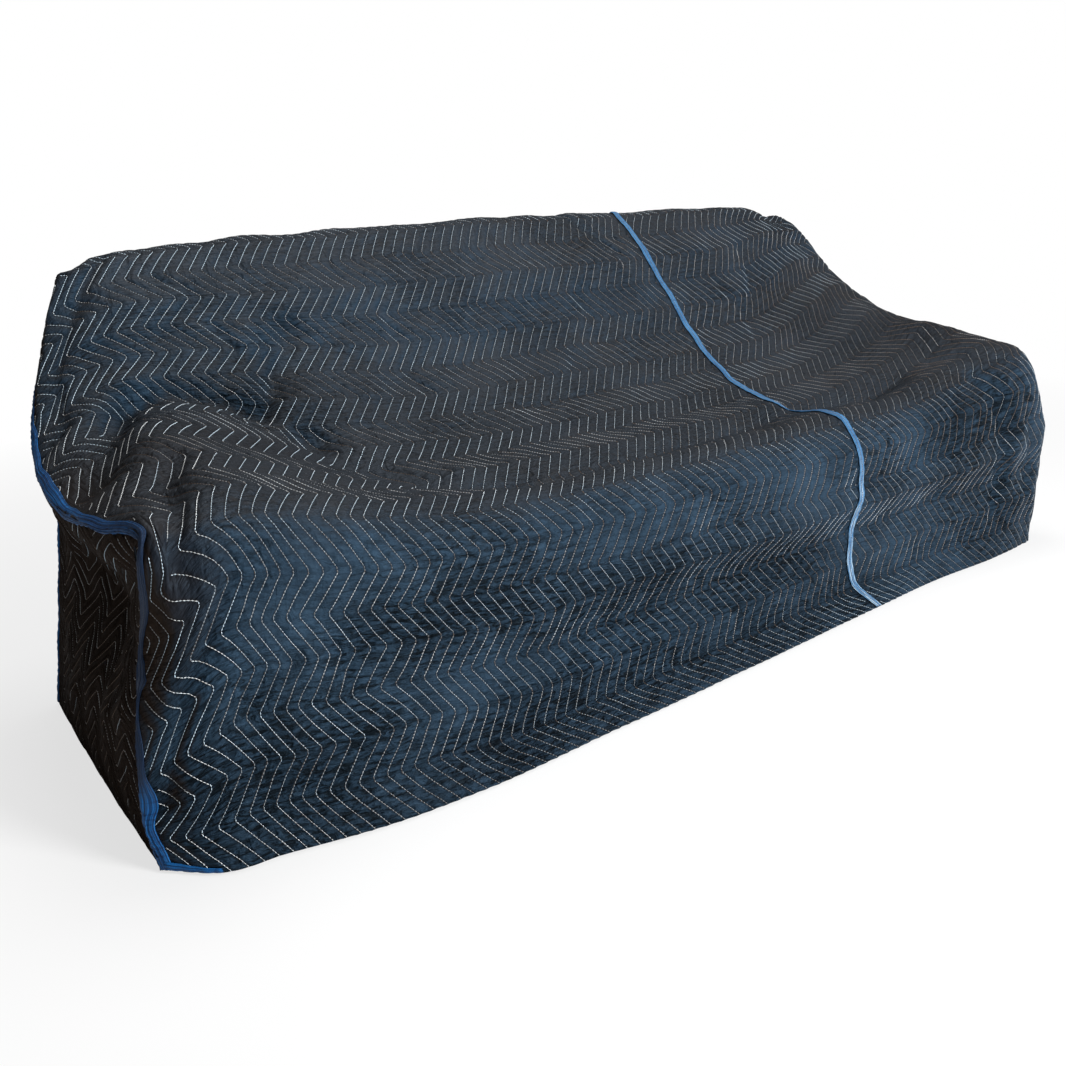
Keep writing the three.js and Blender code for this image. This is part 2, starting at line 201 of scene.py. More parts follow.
def normals_of(surface, across, along, step=3.0):
    """The direction that a surface faces, from its points a step to each side."""
    over = surface(across + step, along) - surface(across - step, along)
    up = surface(across, along + step) - surface(across, along - step)
    return unit(np.cross(over, up))


# %% [markdown]
# ## Folds
#
# The main folds are soft troughs pressed into the cloth along a path. Their profile is a bell
# curve, so each fold fades out on both sides. The first list holds the folds of the CAD source. The
# second holds smaller ones: drag lines and creases that real quilted cloth keeps from being folded
# and pulled about. A low waviness is added over everything, because no cloth lies quite fair.


# %% Folds and waviness
# (depth, width, path of [across, along]), millimetres; a ridge has a depth below zero
MAIN_FOLDS = [
    # arm meets back
    (26, 34, [
        (-1016, 940), (-960, 996), (-885, 1010), (-810, 988), (-730, 950), (-655, 880),
    ]),
    # behind the front roll
    (22, 42, [
        (-655, 880), (-620, 785), (-575, 700), (-480, 628), (-330, 612), (-110, 622),
        (110, 636), (320, 648),
    ]),
    (13, 30, [(-604, 1172), (-636, 1110), (-680, 1030), (-730, 950)]),  # slant on the back
    (30, 46, [(-962, 990), (-1018, 875), (-1060, 800), (-1090, 772)]),  # wing meets arm
    # pleat at the front corner
    (32, 26, [
        (-985, 700), (-1040, 640), (-1076, 570), (-1098, 500), (-1108, 440),
    ]),
    # beside the front seam
    (12, 16, [
        (-1046, 400), (-1086, 340), (-1108, 270), (-1122, 190), (-1132, 110),
    ]),
    # left shoulder of the back
    (-10, 20, [(-1126, 1120), (-1124, 1250), (-1110, 1380), (-1090, 1440)]),
    # left edge of the back
    (12, 26, [
        (-950, 1430), (-1016, 1360), (-1066, 1256), (-1096, 1148), (-1096, 1000),
    ]),
    (26, 48, [(470, 668), (554, 668), (634, 626), (800, 640), (950, 658)]),  # seat meets right arm
    (16, 52, [(450, 350), (582, 368), (726, 398), (880, 462)]),  # under the right bulge
]
SMALL_FOLDS = [
    (5, 13, [(-390, 1215), (-370, 1130), (-385, 1040), (-355, 960)]),
    (4, 11, [(-480, 1385), (-400, 1370), (-330, 1378)]),
    (9, 11, [(228, 1440), (262, 1385), (318, 1300), (322, 1262)]),
    (6, 9, [(290, 1440), (310, 1380), (345, 1325)]),
    (4, 12, [(30, 1090), (45, 1045), (20, 1000)]),
    (5, 14, [(-250, 930), (-120, 905), (60, 925), (220, 915)]),
    (5, 12, [(-560, 905), (-420, 870), (-300, 880)]),
    (4, 12, [(130, 1190), (160, 1120), (150, 1060)]),
    (5, 12, [(-820, 1240), (-760, 1190), (-720, 1120)]),
    (4, 10, [(-870, 1350), (-790, 1300), (-760, 1240)]),
    (-5, 14, [(-700, 1180), (-720, 1080), (-760, 1010)]),
    (5, 12, [(600, 1180), (640, 1080), (620, 1000)]),
    (5, 12, [(760, 1260), (740, 1180), (700, 1120)]),
    (5, 15, [(900, 620), (960, 560), (1010, 480), (1040, 380)]),
    (3, 14, [(980, 700), (1030, 640), (1080, 540)]),
    (5, 12, [(700, 560), (780, 520), (860, 520)]),
    (9, 17, [(905, 500), (932, 410), (946, 310), (950, 210), (938, 130)]),
    (-6, 18, [(975, 470), (990, 380), (996, 280), (985, 170)]),
    (7, 14, [(1034, 350), (1050, 260), (1056, 150)]),
    (5, 14, [(-1080, 330), (-1020, 250), (-990, 140)]),
    (5, 13, [(-1030, 420), (-960, 330), (-930, 210)]),
    (4, 12, [(-880, 330), (-850, 240), (-860, 150)]),
    (-13, 26, [(-985, 700), (-1040, 640), (-1076, 570), (-1098, 500), (-1108, 440)]),
    (4, 12, [(-700, 160), (-520, 140), (-340, 150)]),
    (4, 11, [(-420, 235), (-240, 220), (-60, 240)]),
    (4, 12, [(120, 170), (250, 150), (380, 165)]),
    (5, 12, [(520, 230), (640, 215), (760, 240)]),
    (4, 11, [(-200, 90), (-20, 80), (160, 95)]),
    (-19, 40, [(-700, 920), (-655, 885), (-620, 820)]),
    (-12, 40, [(880, 650), (950, 658)]),
    (7, 9, [(-765, 905), (-700, 880), (-640, 845), (-560, 800)]),
    (3, 9, [(-735, 975), (-725, 930), (-735, 890)]),
    (7, 10, [(-662, 1150), (-668, 1080), (-690, 1010), (-712, 960)]),
    (9, 36, [(-880, 300), (-620, 318), (-430, 305), (-200, 285), (-55, 252), (240, 200)]),
    (9, 15, [(-480, 640), (-330, 612), (-110, 616), (110, 630), (250, 644)]),
    (9, 16, [(500, 672), (600, 640), (700, 628), (800, 642)]),
]
# (height, length, direction, start) of each wave, in millimetres and radians
WAVES = [
    (1.6, 310, 0.3, 0.9), (1.3, 190, 1.9, 2.1), (1.1, 150, 2.7, 4.0), (0.9, 105, 0.9, 5.2),
    (0.8, 84, 2.2, 1.3), (0.7, 66, 1.4, 3.1),
]


def bell(away, width):
    """1 in the middle, fading out smoothly to both sides."""
    return np.exp(-((away / width) ** 2))


def spot(across, along, middle, reach):
    """1 at a place of the cloth, fading out all round."""
    return bell(across - middle[0], reach[0]) * bell(along - middle[1], reach[1])


def fold_depth(across, along, folds):
    """How deep the folds press each place in, from its distance to each fold's path."""
    place = np.stack([across, along], 1)
    depth = np.zeros(len(across))
    for fold, width, path in folds:
        path = np.array(path, float)
        nearest = np.full(len(across), np.inf)
        for start, end in zip(path[:-1], path[1:]):
            leg = end - start
            share = np.clip((place - start) @ leg / (leg @ leg), 0, 1)
            away = np.linalg.norm(place - start - share[:, None] * leg, axis=1)
            nearest = np.minimum(nearest, away)
        depth += fold * bell(nearest, width)
    return depth


def waviness(across, along):
    """A low rise and fall, from waves that cross each other and bend."""
    rise = np.zeros(len(across))
    for height, length, turn, start in WAVES:
        run = across * np.cos(turn) + along * np.sin(turn)
        side = across * np.sin(turn) - along * np.cos(turn)
        bend = np.sin(side / (1.7 * length) + 2 * start)
        rise += height * np.sin(2 * np.pi * run / length + start + 1.8 * bend)
    return rise


# %% [markdown]
# ## The hanging cloth
#
# The middle seam wanders from side to side on its way over the cover. The small
# folds fade out at the end seams and the hem, which hold the cloth flat. At the left seam, just
# before the arm, the corner of the cloth stands out a little.

# %% Sway, folds and corner together
# how far along, and how far the middle seam sways there
SWAY = [
    (0, 12), (35, -4), (75, -16), (135, -21), (200, -9), (275, 5), (375, 12), (490, 1), (640, 0),
    (810, -6), (960, -13), (1150, -15), (1310, -25), (1460, -16), (REAR_HEM, 0),
]
SWAY_KNOTS, SWAY_SIDE = np.array(SWAY, float).T
SWAY_REACH = 130
# the small folds fade out this close to the end seams and the hem, where a share of them is left
SEAM_FADE, HEM_FADE, HEM_SHARE = 60, 50, 0.15
# how far the corner stands out, where, and how far round each way
CORNER_OUT, CORNER_PLACE, CORNER_REACH = 20, (-HALF_LENGTH, 455), (70, 55)


def lay_cloth(across, along):
    """Points of the hanging cloth, folds and all, in millimetres."""
    sway = knot_weights(SWAY_KNOTS, along) @ SWAY_SIDE
    across = across + sway * bell(across - MIDDLE_SEAM, SWAY_REACH)
    fine = fold_depth(across, along, SMALL_FOLDS) - waviness(across, along)
    hold = np.clip((HALF_LENGTH - np.abs(across)) / SEAM_FADE, 0, 1)
    hold *= np.clip(along / HEM_FADE, HEM_SHARE, 1)
    depth = fold_depth(across, along, MAIN_FOLDS) + hold * fine
    inward = normals_of(smooth_cloth, across, along)
    points = smooth_cloth(across, along) - depth[:, None] * inward
    points[:, 0] -= CORNER_OUT * spot(across, along, CORNER_PLACE, CORNER_REACH)
    return points


def cloth_normals(across, along):
    return normals_of(lay_cloth, across, along)


probe = np.array([0.0, 0.0, 0.0]), np.array([0.0, 490.0, 1450.0])
print("hem, lip and top at the middle, mm:", lay_cloth(*probe).round().tolist())

# %% [markdown]
# ## The flat cloth
#
# The quilting was sewn while the cloth lay flat, so its pattern is worked out on the flat cloth and
# then laid on the hanging one. Across, a place on the flat cloth is as far from the middle as the
# hanging cloth is long on the way there. At the front's left corner the cloth is fuller: it is
# pushed together there, lifted a little further in, and pulled down beside the seam.

# %% The way across the cloth
ARC_ACROSS = np.linspace(-HALF_LENGTH, HALF_LENGTH, 231)
ARC_ALONG = np.linspace(0, REAR_HEM, 96)


def arc_table():
    """How long the cloth is from its middle to each place across, for rows of places along."""
    across = np.tile(ARC_ACROSS, len(ARC_ALONG))
    along = np.repeat(ARC_ALONG, len(ARC_ACROSS))
    points = smooth_cloth(across, along).reshape(len(ARC_ALONG), len(ARC_ACROSS), 3)
    legs = np.linalg.norm(np.diff(points, axis=1), axis=2)
    length = np.concatenate([np.zeros((len(ARC_ALONG), 1)), np.cumsum(legs, axis=1)], 1)
    return length - length[:, [len(ARC_ACROSS) // 2]]


ARC = arc_table()


def place_in(knots, at):
    """Where a value lies among evenly spaced knots, counted from the first."""
    return np.clip((at - knots[0]) / (knots[1] - knots[0]), 0, len(knots) - 1.001)


def arc_length(across, along):
    """The way over the cloth from its middle to a place, level with it."""
    column, row = place_in(ARC_ACROSS, across), place_in(ARC_ALONG, along)
    c, r = column.astype(int), row.astype(int)
    over, up = column - c, row - r
    low = (1 - over) * ARC[r, c] + over * ARC[r, c + 1]
    high = (1 - over) * ARC[r + 1, c] + over * ARC[r + 1, c + 1]
    return (1 - up) * low + up * high


print("way from end to end at the rear and the front hem, mm:", np.ptp(ARC, axis=1)[[-1, 0]].round())

# %% Between the flat cloth and the hanging one
FRONT_END, FRONT_FADE = 430, 130  # the front's corrections fade out over the lip
# each correction grows towards the left end: where it starts, and over how far
FULLNESS, FULL_FROM, FULL_OVER = 30, 920, 160
SEAM_PULL, PULL_FROM, PULL_OVER, PULL_RISE = 90, 1030, 120, 150
LIFT_FROM, LIFT_OVER = 450, 350
# along, and how far the pattern is lifted there
LIFTS = [
    (0, 0), (85, 21), (168, 30), (238, 30), (300, 19), (355, 5), (410, -12), (480, -6), (570, 0),
]
# the cloth is fuller in one spot of the hem, and tighter in one above it
HEM_FULLNESS, HEM_FULL_AT, HEM_FULL_REACH, HEM_FULL_RISE = 12, -980, 70, 150
TIGHTNESS, TIGHT_PLACE, TIGHT_REACH = 16, (-840, 275), (80, 60)


def ease(share):
    """From 0 to 1 with a soft start and a soft end."""
    share = np.clip(share, 0, 1)
    return share * share * (3 - 2 * share)


def to_flat(across, along):
    """Where a place of the hanging cloth lies on the flat one."""
    front = 1 - ease((along - FRONT_END) / FRONT_FADE)
    full = FULLNESS * ease((-across - FULL_FROM) / FULL_OVER) * front
    low = np.clip(1 - along / HEM_FULL_RISE, 0, 1)
    full += HEM_FULLNESS * bell(across - HEM_FULL_AT, HEM_FULL_REACH) * low
    full -= TIGHTNESS * spot(across, along, TIGHT_PLACE, TIGHT_REACH)
    lift = np.interp(along, *zip(*LIFTS)) * ease((-across - LIFT_FROM) / LIFT_OVER)
    pull = SEAM_PULL * np.clip((-across - PULL_FROM) / PULL_OVER, 0, 1) ** 2
    pull *= front * ease(along / PULL_RISE)
    return arc_length(across, along) - full, along - lift + pull


def from_flat(flat_across, flat_along, start, end):
    """The place of the hanging cloth for one of the flat cloth, kept between two seams.

    Each round moves the place by a part of what is still missing.
    """
    rounds, part_across, part_along = 60, 0.4, 0.6
    across = np.clip(flat_across, start, end)
    along = flat_along.copy()
    for _ in range(rounds):
        over, up = to_flat(across, along)
        across = np.clip(across + part_across * (flat_across - over), start, end)
        along = np.clip(along + part_along * (flat_along - up), 0, REAR_HEM)
    return across, along


seam_rows = np.array([0.0, 200, 350, 490, 810, 1450])
seam_flat = to_flat(np.full(len(seam_rows), -float(HALF_LENGTH)), seam_rows)
print("the left seam on the flat cloth, mm:", [np.round(x).tolist() for x in seam_flat])

# %% [markdown]
# ## Quilting
#
# Moving pads are quilted in zigzags: every thread runs up the cloth in straight legs that turn at
# the same height as all the others. The padding swells between the threads and is pinched flat
# under them. The columns of the grid follow the zigzag, five of them to a channel, and rows fall on
# the turns. So each turn stays sharp without a very fine mesh.

# %% Zigzag and puff
THREAD_PITCH = 25.4
COLUMNS_PER_CHANNEL = 5
COLUMN_STEP = THREAD_PITCH / COLUMNS_PER_CHANNEL
HALF_WAVE = 70.8
WAVE_REACH = 25
FIRST_TURN = 69
THREAD_START = 4
ROWS_PER_LEG = 6
TURN = 7  # a thread runs straight on for this length at each turn
PUFF = 2.6
PINCH = 0.16  # how far a thread's pinch reaches, as a share of the channel
PUFF_FADE, EDGE_SHARE = 22, 0.15  # the puff fades out this close to an edge, down to this share


def zigzag(along):
    """How far to the side a thread lies at this place along it."""
    wave = 1 - 2 * np.abs(((along - FIRST_TURN) / HALF_WAVE) % 2 - 1)
    return WAVE_REACH * np.clip(wave * HALF_WAVE / (HALF_WAVE - TURN), -1, 1)


def dome(channel):
    """The swelling across the channels: 0 on a thread, which is a whole number, 1 well off it."""
    return 1 - bell(channel - np.round(channel), PINCH)


def puff(across, along, from_edge):
    """How far the padding swells above the threads, which pull it down; the edges are flat."""
    channel = (across - THREAD_START - zigzag(along)) / THREAD_PITCH
    number = np.floor(channel)
    fullness = 0.82 + 0.18 * np.sin(along / 37 + 1.9 * number + 2 * np.sin(along / 91 + number))
    return PUFF * dome(channel) * fullness * np.clip(from_edge / PUFF_FADE, EDGE_SHARE, 1)


print("a thread's turns, mm:", [round(FIRST_TURN + k * HALF_WAVE) for k in range(4)])

# %% Rows on the turns
ROW_GAP = 3  # the least gap between a row and an edge
REAR_TURN = 20  # the turn past the top from which the rows may lie further apart
REAR_ROWS_PER_LEG = 2
REAR_START = FIRST_TURN + REAR_TURN * HALF_WAVE + TURN / 2


def rows_on_turns(start, end, first_turn, rows_per_leg):
    """Places from start to end with one at each end of every turn's straight piece."""
    leg = TURN / 2 + np.linspace(0, HALF_WAVE - TURN, rows_per_leg)
    turns = np.arange(np.floor((start - first_turn) / HALF_WAVE), (end - first_turn) / HALF_WAVE)
    places = (first_turn + turns[:, None] * HALF_WAVE + leg).ravel()
    places = places[(places > start + ROW_GAP) & (places < end - ROW_GAP)]
    return np.concatenate([[start], places, [end]])


ROWS = np.concatenate([
    rows_on_turns(0, REAR_START, FIRST_TURN, ROWS_PER_LEG)[:-1],
    rows_on_turns(REAR_START, REAR_HEM, FIRST_TURN, REAR_ROWS_PER_LEG),
])
print("rows of the long panels:", len(ROWS))

# %% [markdown]
# ## From a grid of points to a cloth
#
# The grid operator makes a flat sheet of squares. Each corner knows its row and column, so it can
# be moved to its point on the hanging cloth, and can carry its place on the flat cloth along.
# Points that fall together at a slanting edge are merged. The flat places become a UV map, which
# the finishes read.

# %% Grid to mesh
MERGE_WITHIN = 0.02 * MM


def add_object(name, data):
    piece = bpy.data.objects.new(name, data)
    bpy.context.scene.collection.objects.link(piece)
    return piece


def grid_piece(name, points, flat):
    """A grid of points, rows by columns, as a mesh whose UV map holds the flat cloth's places."""
    rows, columns = points.shape[:2]
    mesh = bmesh.new()
    bmesh.ops.create_grid(mesh, x_segments=columns - 1, y_segments=rows - 1, size=0.5)
    mesh.verts.ensure_lookup_table()
    across = mesh.verts.layers.float.new("across")
    along = mesh.verts.layers.float.new("along")
    for vertex in mesh.verts:
        row = round((vertex.co.y + 0.5) * (rows - 1))
        column = round((vertex.co.x + 0.5) * (columns - 1))
        vertex[across], vertex[along] = flat[row, column]
        vertex.co = points[row, column]
    bmesh.ops.remove_doubles(mesh, verts=mesh.verts, dist=MERGE_WITHIN)
    data = bpy.data.meshes.new(name)
    mesh.to_mesh(data)
    mesh.free()
    places = np.zeros((len(data.vertices), 2))
    for k, layer in enumerate(("across", "along")):
        values = np.zeros(len(data.vertices))
        data.attributes[layer].data.foreach_get("value", values)
        places[:, k] = values
    corners = np.zeros(len(data.loops), int)
    data.loops.foreach_get("vertex_index", corners)
    uv = data.uv_layers.new(name="flat cloth")
    uv.data.foreach_set("uv", (places[corners] * MM).ravel())
    for layer in ("across", "along"):
        data.attributes.remove(data.attributes[layer])
    data.shade_smooth()
    return add_object(name, data)


def thicken(piece, thickness):
    """Gives a sheet its thickness on the inner side."""
    solid = piece.modifiers.new("thickness", "SOLIDIFY")
    solid.thickness = thickness
    solid.offset = -1
    solid.use_even_offset = False
    return piece


# %% [markdown]
# ## The two long panels
#
# Each panel's grid is worked out flat, its columns slanting with the zigzag and cut off at the
# panel's edges. Then every place goes through the cloth function and is raised by the puff.
# Solidify adds the inner side. The grid's points are kept, because the threads are laid on them.

# %% Long panels
CLOTH_THICKNESS = 3.6 * MM
THREAD_END = 10  # the threads stop this far from a panel's edges
SEAM_GAP = 0.4  # between the middle seam and each panel's edge
THREAD_LINES = {}


def in_place(points):
    """Points in metres, where the CAD puts the cover."""
    return (points + ORIGIN_SHIFT) * MM


def keep_threads(name, points, normals, inside, columns):
    """Keeps the grid's columns that carry a thread, for the stitches."""
    THREAD_LINES[name] = [(points[:, k], normals[:, k], inside[:, k]) for k in columns]


def long_panel(name, start, end):
    edges = [to_flat(np.full(len(ARC_ALONG), float(x)), ARC_ALONG)[0] for x in (start, end)]
    first = int(np.floor((edges[0].min() - WAVE_REACH - THREAD_START) / COLUMN_STEP))
    last = int(np.ceil((edges[1].max() + WAVE_REACH - THREAD_START) / COLUMN_STEP))
    columns = np.arange(first, last + 1)
    flat_along = np.repeat(ROWS[:, None], len(columns), 1)
    flat_across = THREAD_START + columns[None, :] * COLUMN_STEP + zigzag(flat_along)
    shape = flat_along.shape
    across, along = from_flat(flat_across.ravel(), flat_along.ravel(), start, end)
    low = to_flat(np.full(len(along), float(start)), along)[0].reshape(shape)
    high = to_flat(np.full(len(along), float(end)), along)[0].reshape(shape)
    from_edge = np.minimum(flat_across - low, high - flat_across)
    inside = from_edge > THREAD_END
    normals = cloth_normals(across, along)
    swell = puff(flat_across.ravel(), flat_along.ravel(), from_edge.ravel())
    points = in_place(lay_cloth(across, along) + swell[:, None] * normals).reshape(shape + (3,))
    normals = normals.reshape(points.shape)
    flat = np.stack([np.clip(flat_across, low, high), flat_along], 2)
    piece = thicken(grid_piece(name, points, flat), CLOTH_THICKNESS)
    threads = [k for k, column in enumerate(columns) if column % COLUMNS_PER_CHANNEL == 0]
    keep_threads(name, points, normals, inside, threads)
    print(name, "faces:", len(piece.data.polygons), "thread lines:", len(threads))
    return piece


panel_left = long_panel("long_panel_left_cloth", -HALF_LENGTH, MIDDLE_SEAM - SEAM_GAP)
panel_right = long_panel("long_panel_right_cloth", MIDDLE_SEAM + SEAM_GAP, HALF_LENGTH)

# %% [markdown]
# ## The end panels
#
# An end panel fills the shape that the seam draws on the sofa's end: its front edge, its top run
# over the arm and up the back, its rear edge and the hem. A four-sided patch blends those edges.
# The sofa's arm overhangs, so the cloth is drawn in below it in a soft dent. Here the threads run
# from front to rear, one above the other.

# %% The seam's stops, the dents and the folds of the ends
# how far along each run of stops goes, and its number of stops
ROW_RUNS = [
    (210, 4), (352, 2), (560, 5), (720, 5), (1060, 7), (1300, 4), (1550, 6), (REAR_HEM, 9),
]
FRONT_EDGE_ROWS = 9
REAR_EDGE_ROWS = 9
SEAM_HOLD = 85  # the dent fades out this close to the seam
FOLD_HOLD = 60  # and the folds this close
FOLD_RISE, FOLD_SHARE = 110, 0.15  # and this close to the hem, down to this share
SEAM_SAMPLES = 160
END_WAVES, END_WAVE_SHIFT = 1.5, 400  # the ends wave more, and from another place of the pattern
# the dent's middle and reach, as y and z, its depth, and how far the hem bows out
ENDS = {
    "left": dict(side=-1, middle=(60, 310), reach=(270, 145), depth=90, bow=6),
    "right": dict(side=1, middle=(60, 320), reach=(280, 150), depth=40, bow=8),
}
# (depth, width, path of [y, z]) on each end
END_FOLDS = {
    "left": [
        (12, 26, [(-300, 440), (-200, 400), (-60, 395), (120, 420)]),
        (9, 20, [(-250, 330), (-120, 290), (60, 300), (220, 330)]),
        (-9, 24, [(-290, 250), (-180, 190), (-60, 150)]),
        (7, 20, [(-330, 180), (-240, 120), (-170, 40)]),
        (-7, 24, [(40, 180), (160, 120), (240, 40)]),
        (6, 18, [(250, 520), (230, 420), (260, 330)]),
    ],
    "right": [
        (9, 26, [(-280, 400), (-120, 380), (80, 390)]),
        (-7, 26, [(-260, 220), (-60, 160), (160, 190)]),
        (6, 22, [(250, 560), (220, 430), (250, 300)]),
        (6, 20, [(-120, 150), (-60, 60)]),
    ],
}


def stops_along(runs):
    stops = [0.0]
    for to, count in runs:
        stops.extend(np.linspace(stops[-1], to, count + 1)[1:])
    return np.array(stops)


STOPS = stops_along(ROW_RUNS)
FRONT_STOPS = STOPS[: FRONT_EDGE_ROWS + 1]
TOP_STOPS = STOPS[FRONT_EDGE_ROWS : len(STOPS) - REAR_EDGE_ROWS]
REAR_STOPS = STOPS[: -REAR_EDGE_ROWS - 2 : -1]
print("stops on front, top and rear:", len(FRONT_STOPS), len(TOP_STOPS), len(REAR_STOPS))


# %% The end patch
def seam_points(side, along):
    return lay_cloth(np.full(len(along), side * float(HALF_LENGTH)), along)


def edge_points(side, stops, share):
    """Points of the seam at shares of the way from the first stop to the last."""
    rows = len(stops) - 1
    return seam_points(side, np.interp(share * rows, range(rows + 1), stops))


def end_patch(end, u, v):
    """Points of the end panel at shares u, front to rear, and v, hem to top, in millimetres."""
    side = end["side"]
    front = edge_points(side, FRONT_STOPS, v)
    rear = edge_points(side, REAR_STOPS, v)
    top = edge_points(side, TOP_STOPS, u)
    top_start, top_end = (edge_points(side, TOP_STOPS, np.full(1, at)) for at in (0.0, 1.0))
    hem_start = edge_points(side, FRONT_STOPS, np.zeros(1))
    hem_end = edge_points(side, REAR_STOPS, np.zeros(1))
    share = (top[:, 1:2] - top_start[:, 1:2]) / (top_end[:, 1:2] - top_start[:, 1:2])
    hem = hem_start + share * (hem_end - hem_start)
    hem[:, 0] += side * end["bow"] * np.sin(np.pi * share[:, 0])
    u, v = u[:, None], v[:, None]
    place = (1 - u) * front + u * rear + (1 - v) * hem + v * top
    place -= (1 - u) * (1 - v) * hem_start + u * (1 - v) * hem_end
    place -= (1 - u) * v * top_start + u * v * top_end
    return draw_in(end, place)


def draw_in(end, place):
    """Presses the dent and the folds into an end, and none of it close to the seam."""
    y, z = place[:, 1], place[:, 2]
    seam = seam_points(end["side"], np.linspace(0, REAR_HEM, SEAM_SAMPLES))
    from_seam = np.linalg.norm(place[:, None] - seam[None], axis=2).min(1)
    depth = end["depth"] * (1 - bell(from_seam, SEAM_HOLD))
    depth *= spot(y, z, end["middle"], end["reach"])
    folds = END_FOLDS["left" if end["side"] < 0 else "right"]
    loose = np.clip(from_seam / FOLD_HOLD, 0, 1) * np.clip(z / FOLD_RISE, FOLD_SHARE, 1)
    depth += loose * fold_depth(y, z, folds)
    depth -= loose * END_WAVES * waviness(y + END_WAVE_SHIFT, z)
    drawn = place.copy()
    drawn[:, 0] -= end["side"] * depth
    return drawn


corner = end_patch(ENDS["left"], np.array([0.5]), np.array([0.5]))
print("middle of the left end, mm:", corner.round().tolist())

# %% [markdown]
# An end panel's grid has upright columns that fall on the turns of its threads. Up each column the
# patch is climbed, and the height of every level of the quilting is looked up on the way.

# %% End panels
EDGE_INSET = 6
TURN_INSET = 30  # the first turn, behind the front edge
LEVELS_BELOW, LEVELS_ABOVE = 6, 8  # spare levels, pressed together at the hem and the top
EDGE_SAMPLES, CLIMB_SAMPLES = 400, 90
SHARE_STEP = 0.004  # of the patch, to each side of a point whose normal is measured
TOP_SHARE = 0.01  # the threads stop this far below the top


def end_panel(name, end):
    side = end["side"]
    dense = np.linspace(0, 1, EDGE_SAMPLES)
    top = edge_points(side, TOP_STOPS, dense)
    first, last = top[0, 1], top[-1, 1]
    first_turn = first + TURN_INSET
    stations = rows_on_turns(first + EDGE_INSET, last - EDGE_INSET, first_turn, ROWS_PER_LEG)
    shares = np.interp(stations, np.maximum.accumulate(top[:, 1]), dense)
    rise = int(top[:, 2].max() / COLUMN_STEP)
    levels = np.arange(-LEVELS_BELOW, rise + LEVELS_ABOVE) * COLUMN_STEP
    lift = zigzag(stations - first_turn + FIRST_TURN)
    climb = np.linspace(0, 1, CLIMB_SAMPLES)
    up_share = np.zeros((len(stations), len(levels)))
    for k, share in enumerate(shares):
        height = end_patch(end, np.full(len(climb), share), climb)[:, 2]
        highest = 1 - EDGE_INSET / (height[-1] - height[0])
        found = np.interp(levels + lift[k], np.maximum.accumulate(height), climb)
        up_share[k] = np.clip(found, 0, highest)
    u = np.repeat(shares[:, None], len(levels), 1)
    shape = u.shape + (3,)

    def surface(step_u, step_v):
        shifted = np.clip(u + step_u, 0, 1), np.clip(up_share + step_v, 0, 1)
        return end_patch(end, shifted[0].ravel(), shifted[1].ravel()).reshape(shape)

    over = surface(SHARE_STEP, 0) - surface(-SHARE_STEP, 0)
    up = surface(0, SHARE_STEP) - surface(0, -SHARE_STEP)
    normals = unit(np.cross(up, over)) * side * -1
    columns = np.arange(len(levels)) - LEVELS_BELOW
    swell = PUFF * dome(columns / COLUMNS_PER_CHANNEL)
    points = in_place(surface(0, 0) + swell[None, :, None] * normals)
    inside = (up_share > SHARE_STEP) & (up_share < up_share.max(1, keepdims=True) - TOP_SHARE)
    flat = np.stack([np.repeat(stations[:, None], len(levels), 1), levels[None] + 0 * u], 2)
    if side > 0:
        points, flat, normals, inside = (part[::-1] for part in (points, flat, normals, inside))
    piece = thicken(grid_piece(name, points, flat), CLOTH_THICKNESS)
    threads = [k for k in range(1, len(levels) - 1) if columns[k] % COLUMNS_PER_CHANNEL == 0]
    keep_threads(name, points, normals, inside, threads)
    print(name, "faces:", len(piece.data.polygons), "thread lines:", len(threads))
    return piece


end_left = end_panel("end_panel_left_cloth", ENDS["left"])
end_right = end_panel("end_panel_right_cloth", ENDS["right"])

# %% [markdown]
# ## Threads
#
# The quilting thread is pale and stands out on the dark cloth as thin rows of small dashes. One
# stitch is a slender three-sided bead. Its copies are laid along every thread line, in the pinched
# grooves of the grid, a pitch apart. Their thin tips overlap a little, so a thread is unbroken and
# still reads as dashes. The left panel's threads are two pieces, front and rear.

# %% Stitches
STITCH_PITCH = 5.4 * MM
STITCH_LENGTH = 5.8 * MM
STITCH_WIDTH = 1.9 * MM
STITCH_HEIGHT = 1.2 * MM
STITCH_LIFT = 0.5 * MM
AHEAD = 2 * MM
BEAD_WIDTH, BEAD_HEIGHT = 0.87, 0.75  # of a three-sided bead of diameter 1


def one_stitch():
    """Corners and faces of a stitch, pointing along Z, its flat side down."""
    stitch = bmesh.new()
    bmesh.ops.create_uvsphere(stitch, u_segments=3, v_segments=2, radius=0.5)
    rim = max(stitch.verts, key=lambda vertex: vertex.co.xy.length).co
    turn = np.pi / 2 - np.arctan2(rim.y, rim.x)
    bmesh.ops.rotate(stitch, verts=stitch.verts, matrix=Matrix.Rotation(turn, 3, "Z"))
    scale = Vector((STITCH_WIDTH / BEAD_WIDTH, STITCH_HEIGHT / BEAD_HEIGHT, STITCH_LENGTH))
    bmesh.ops.scale(stitch, verts=stitch.verts, vec=scale)
    corners = np.array([vertex.co for vertex in stitch.verts])
    faces = [[vertex.index for vertex in face.verts] for face in stitch.faces]
    stitch.free()
    return corners, faces


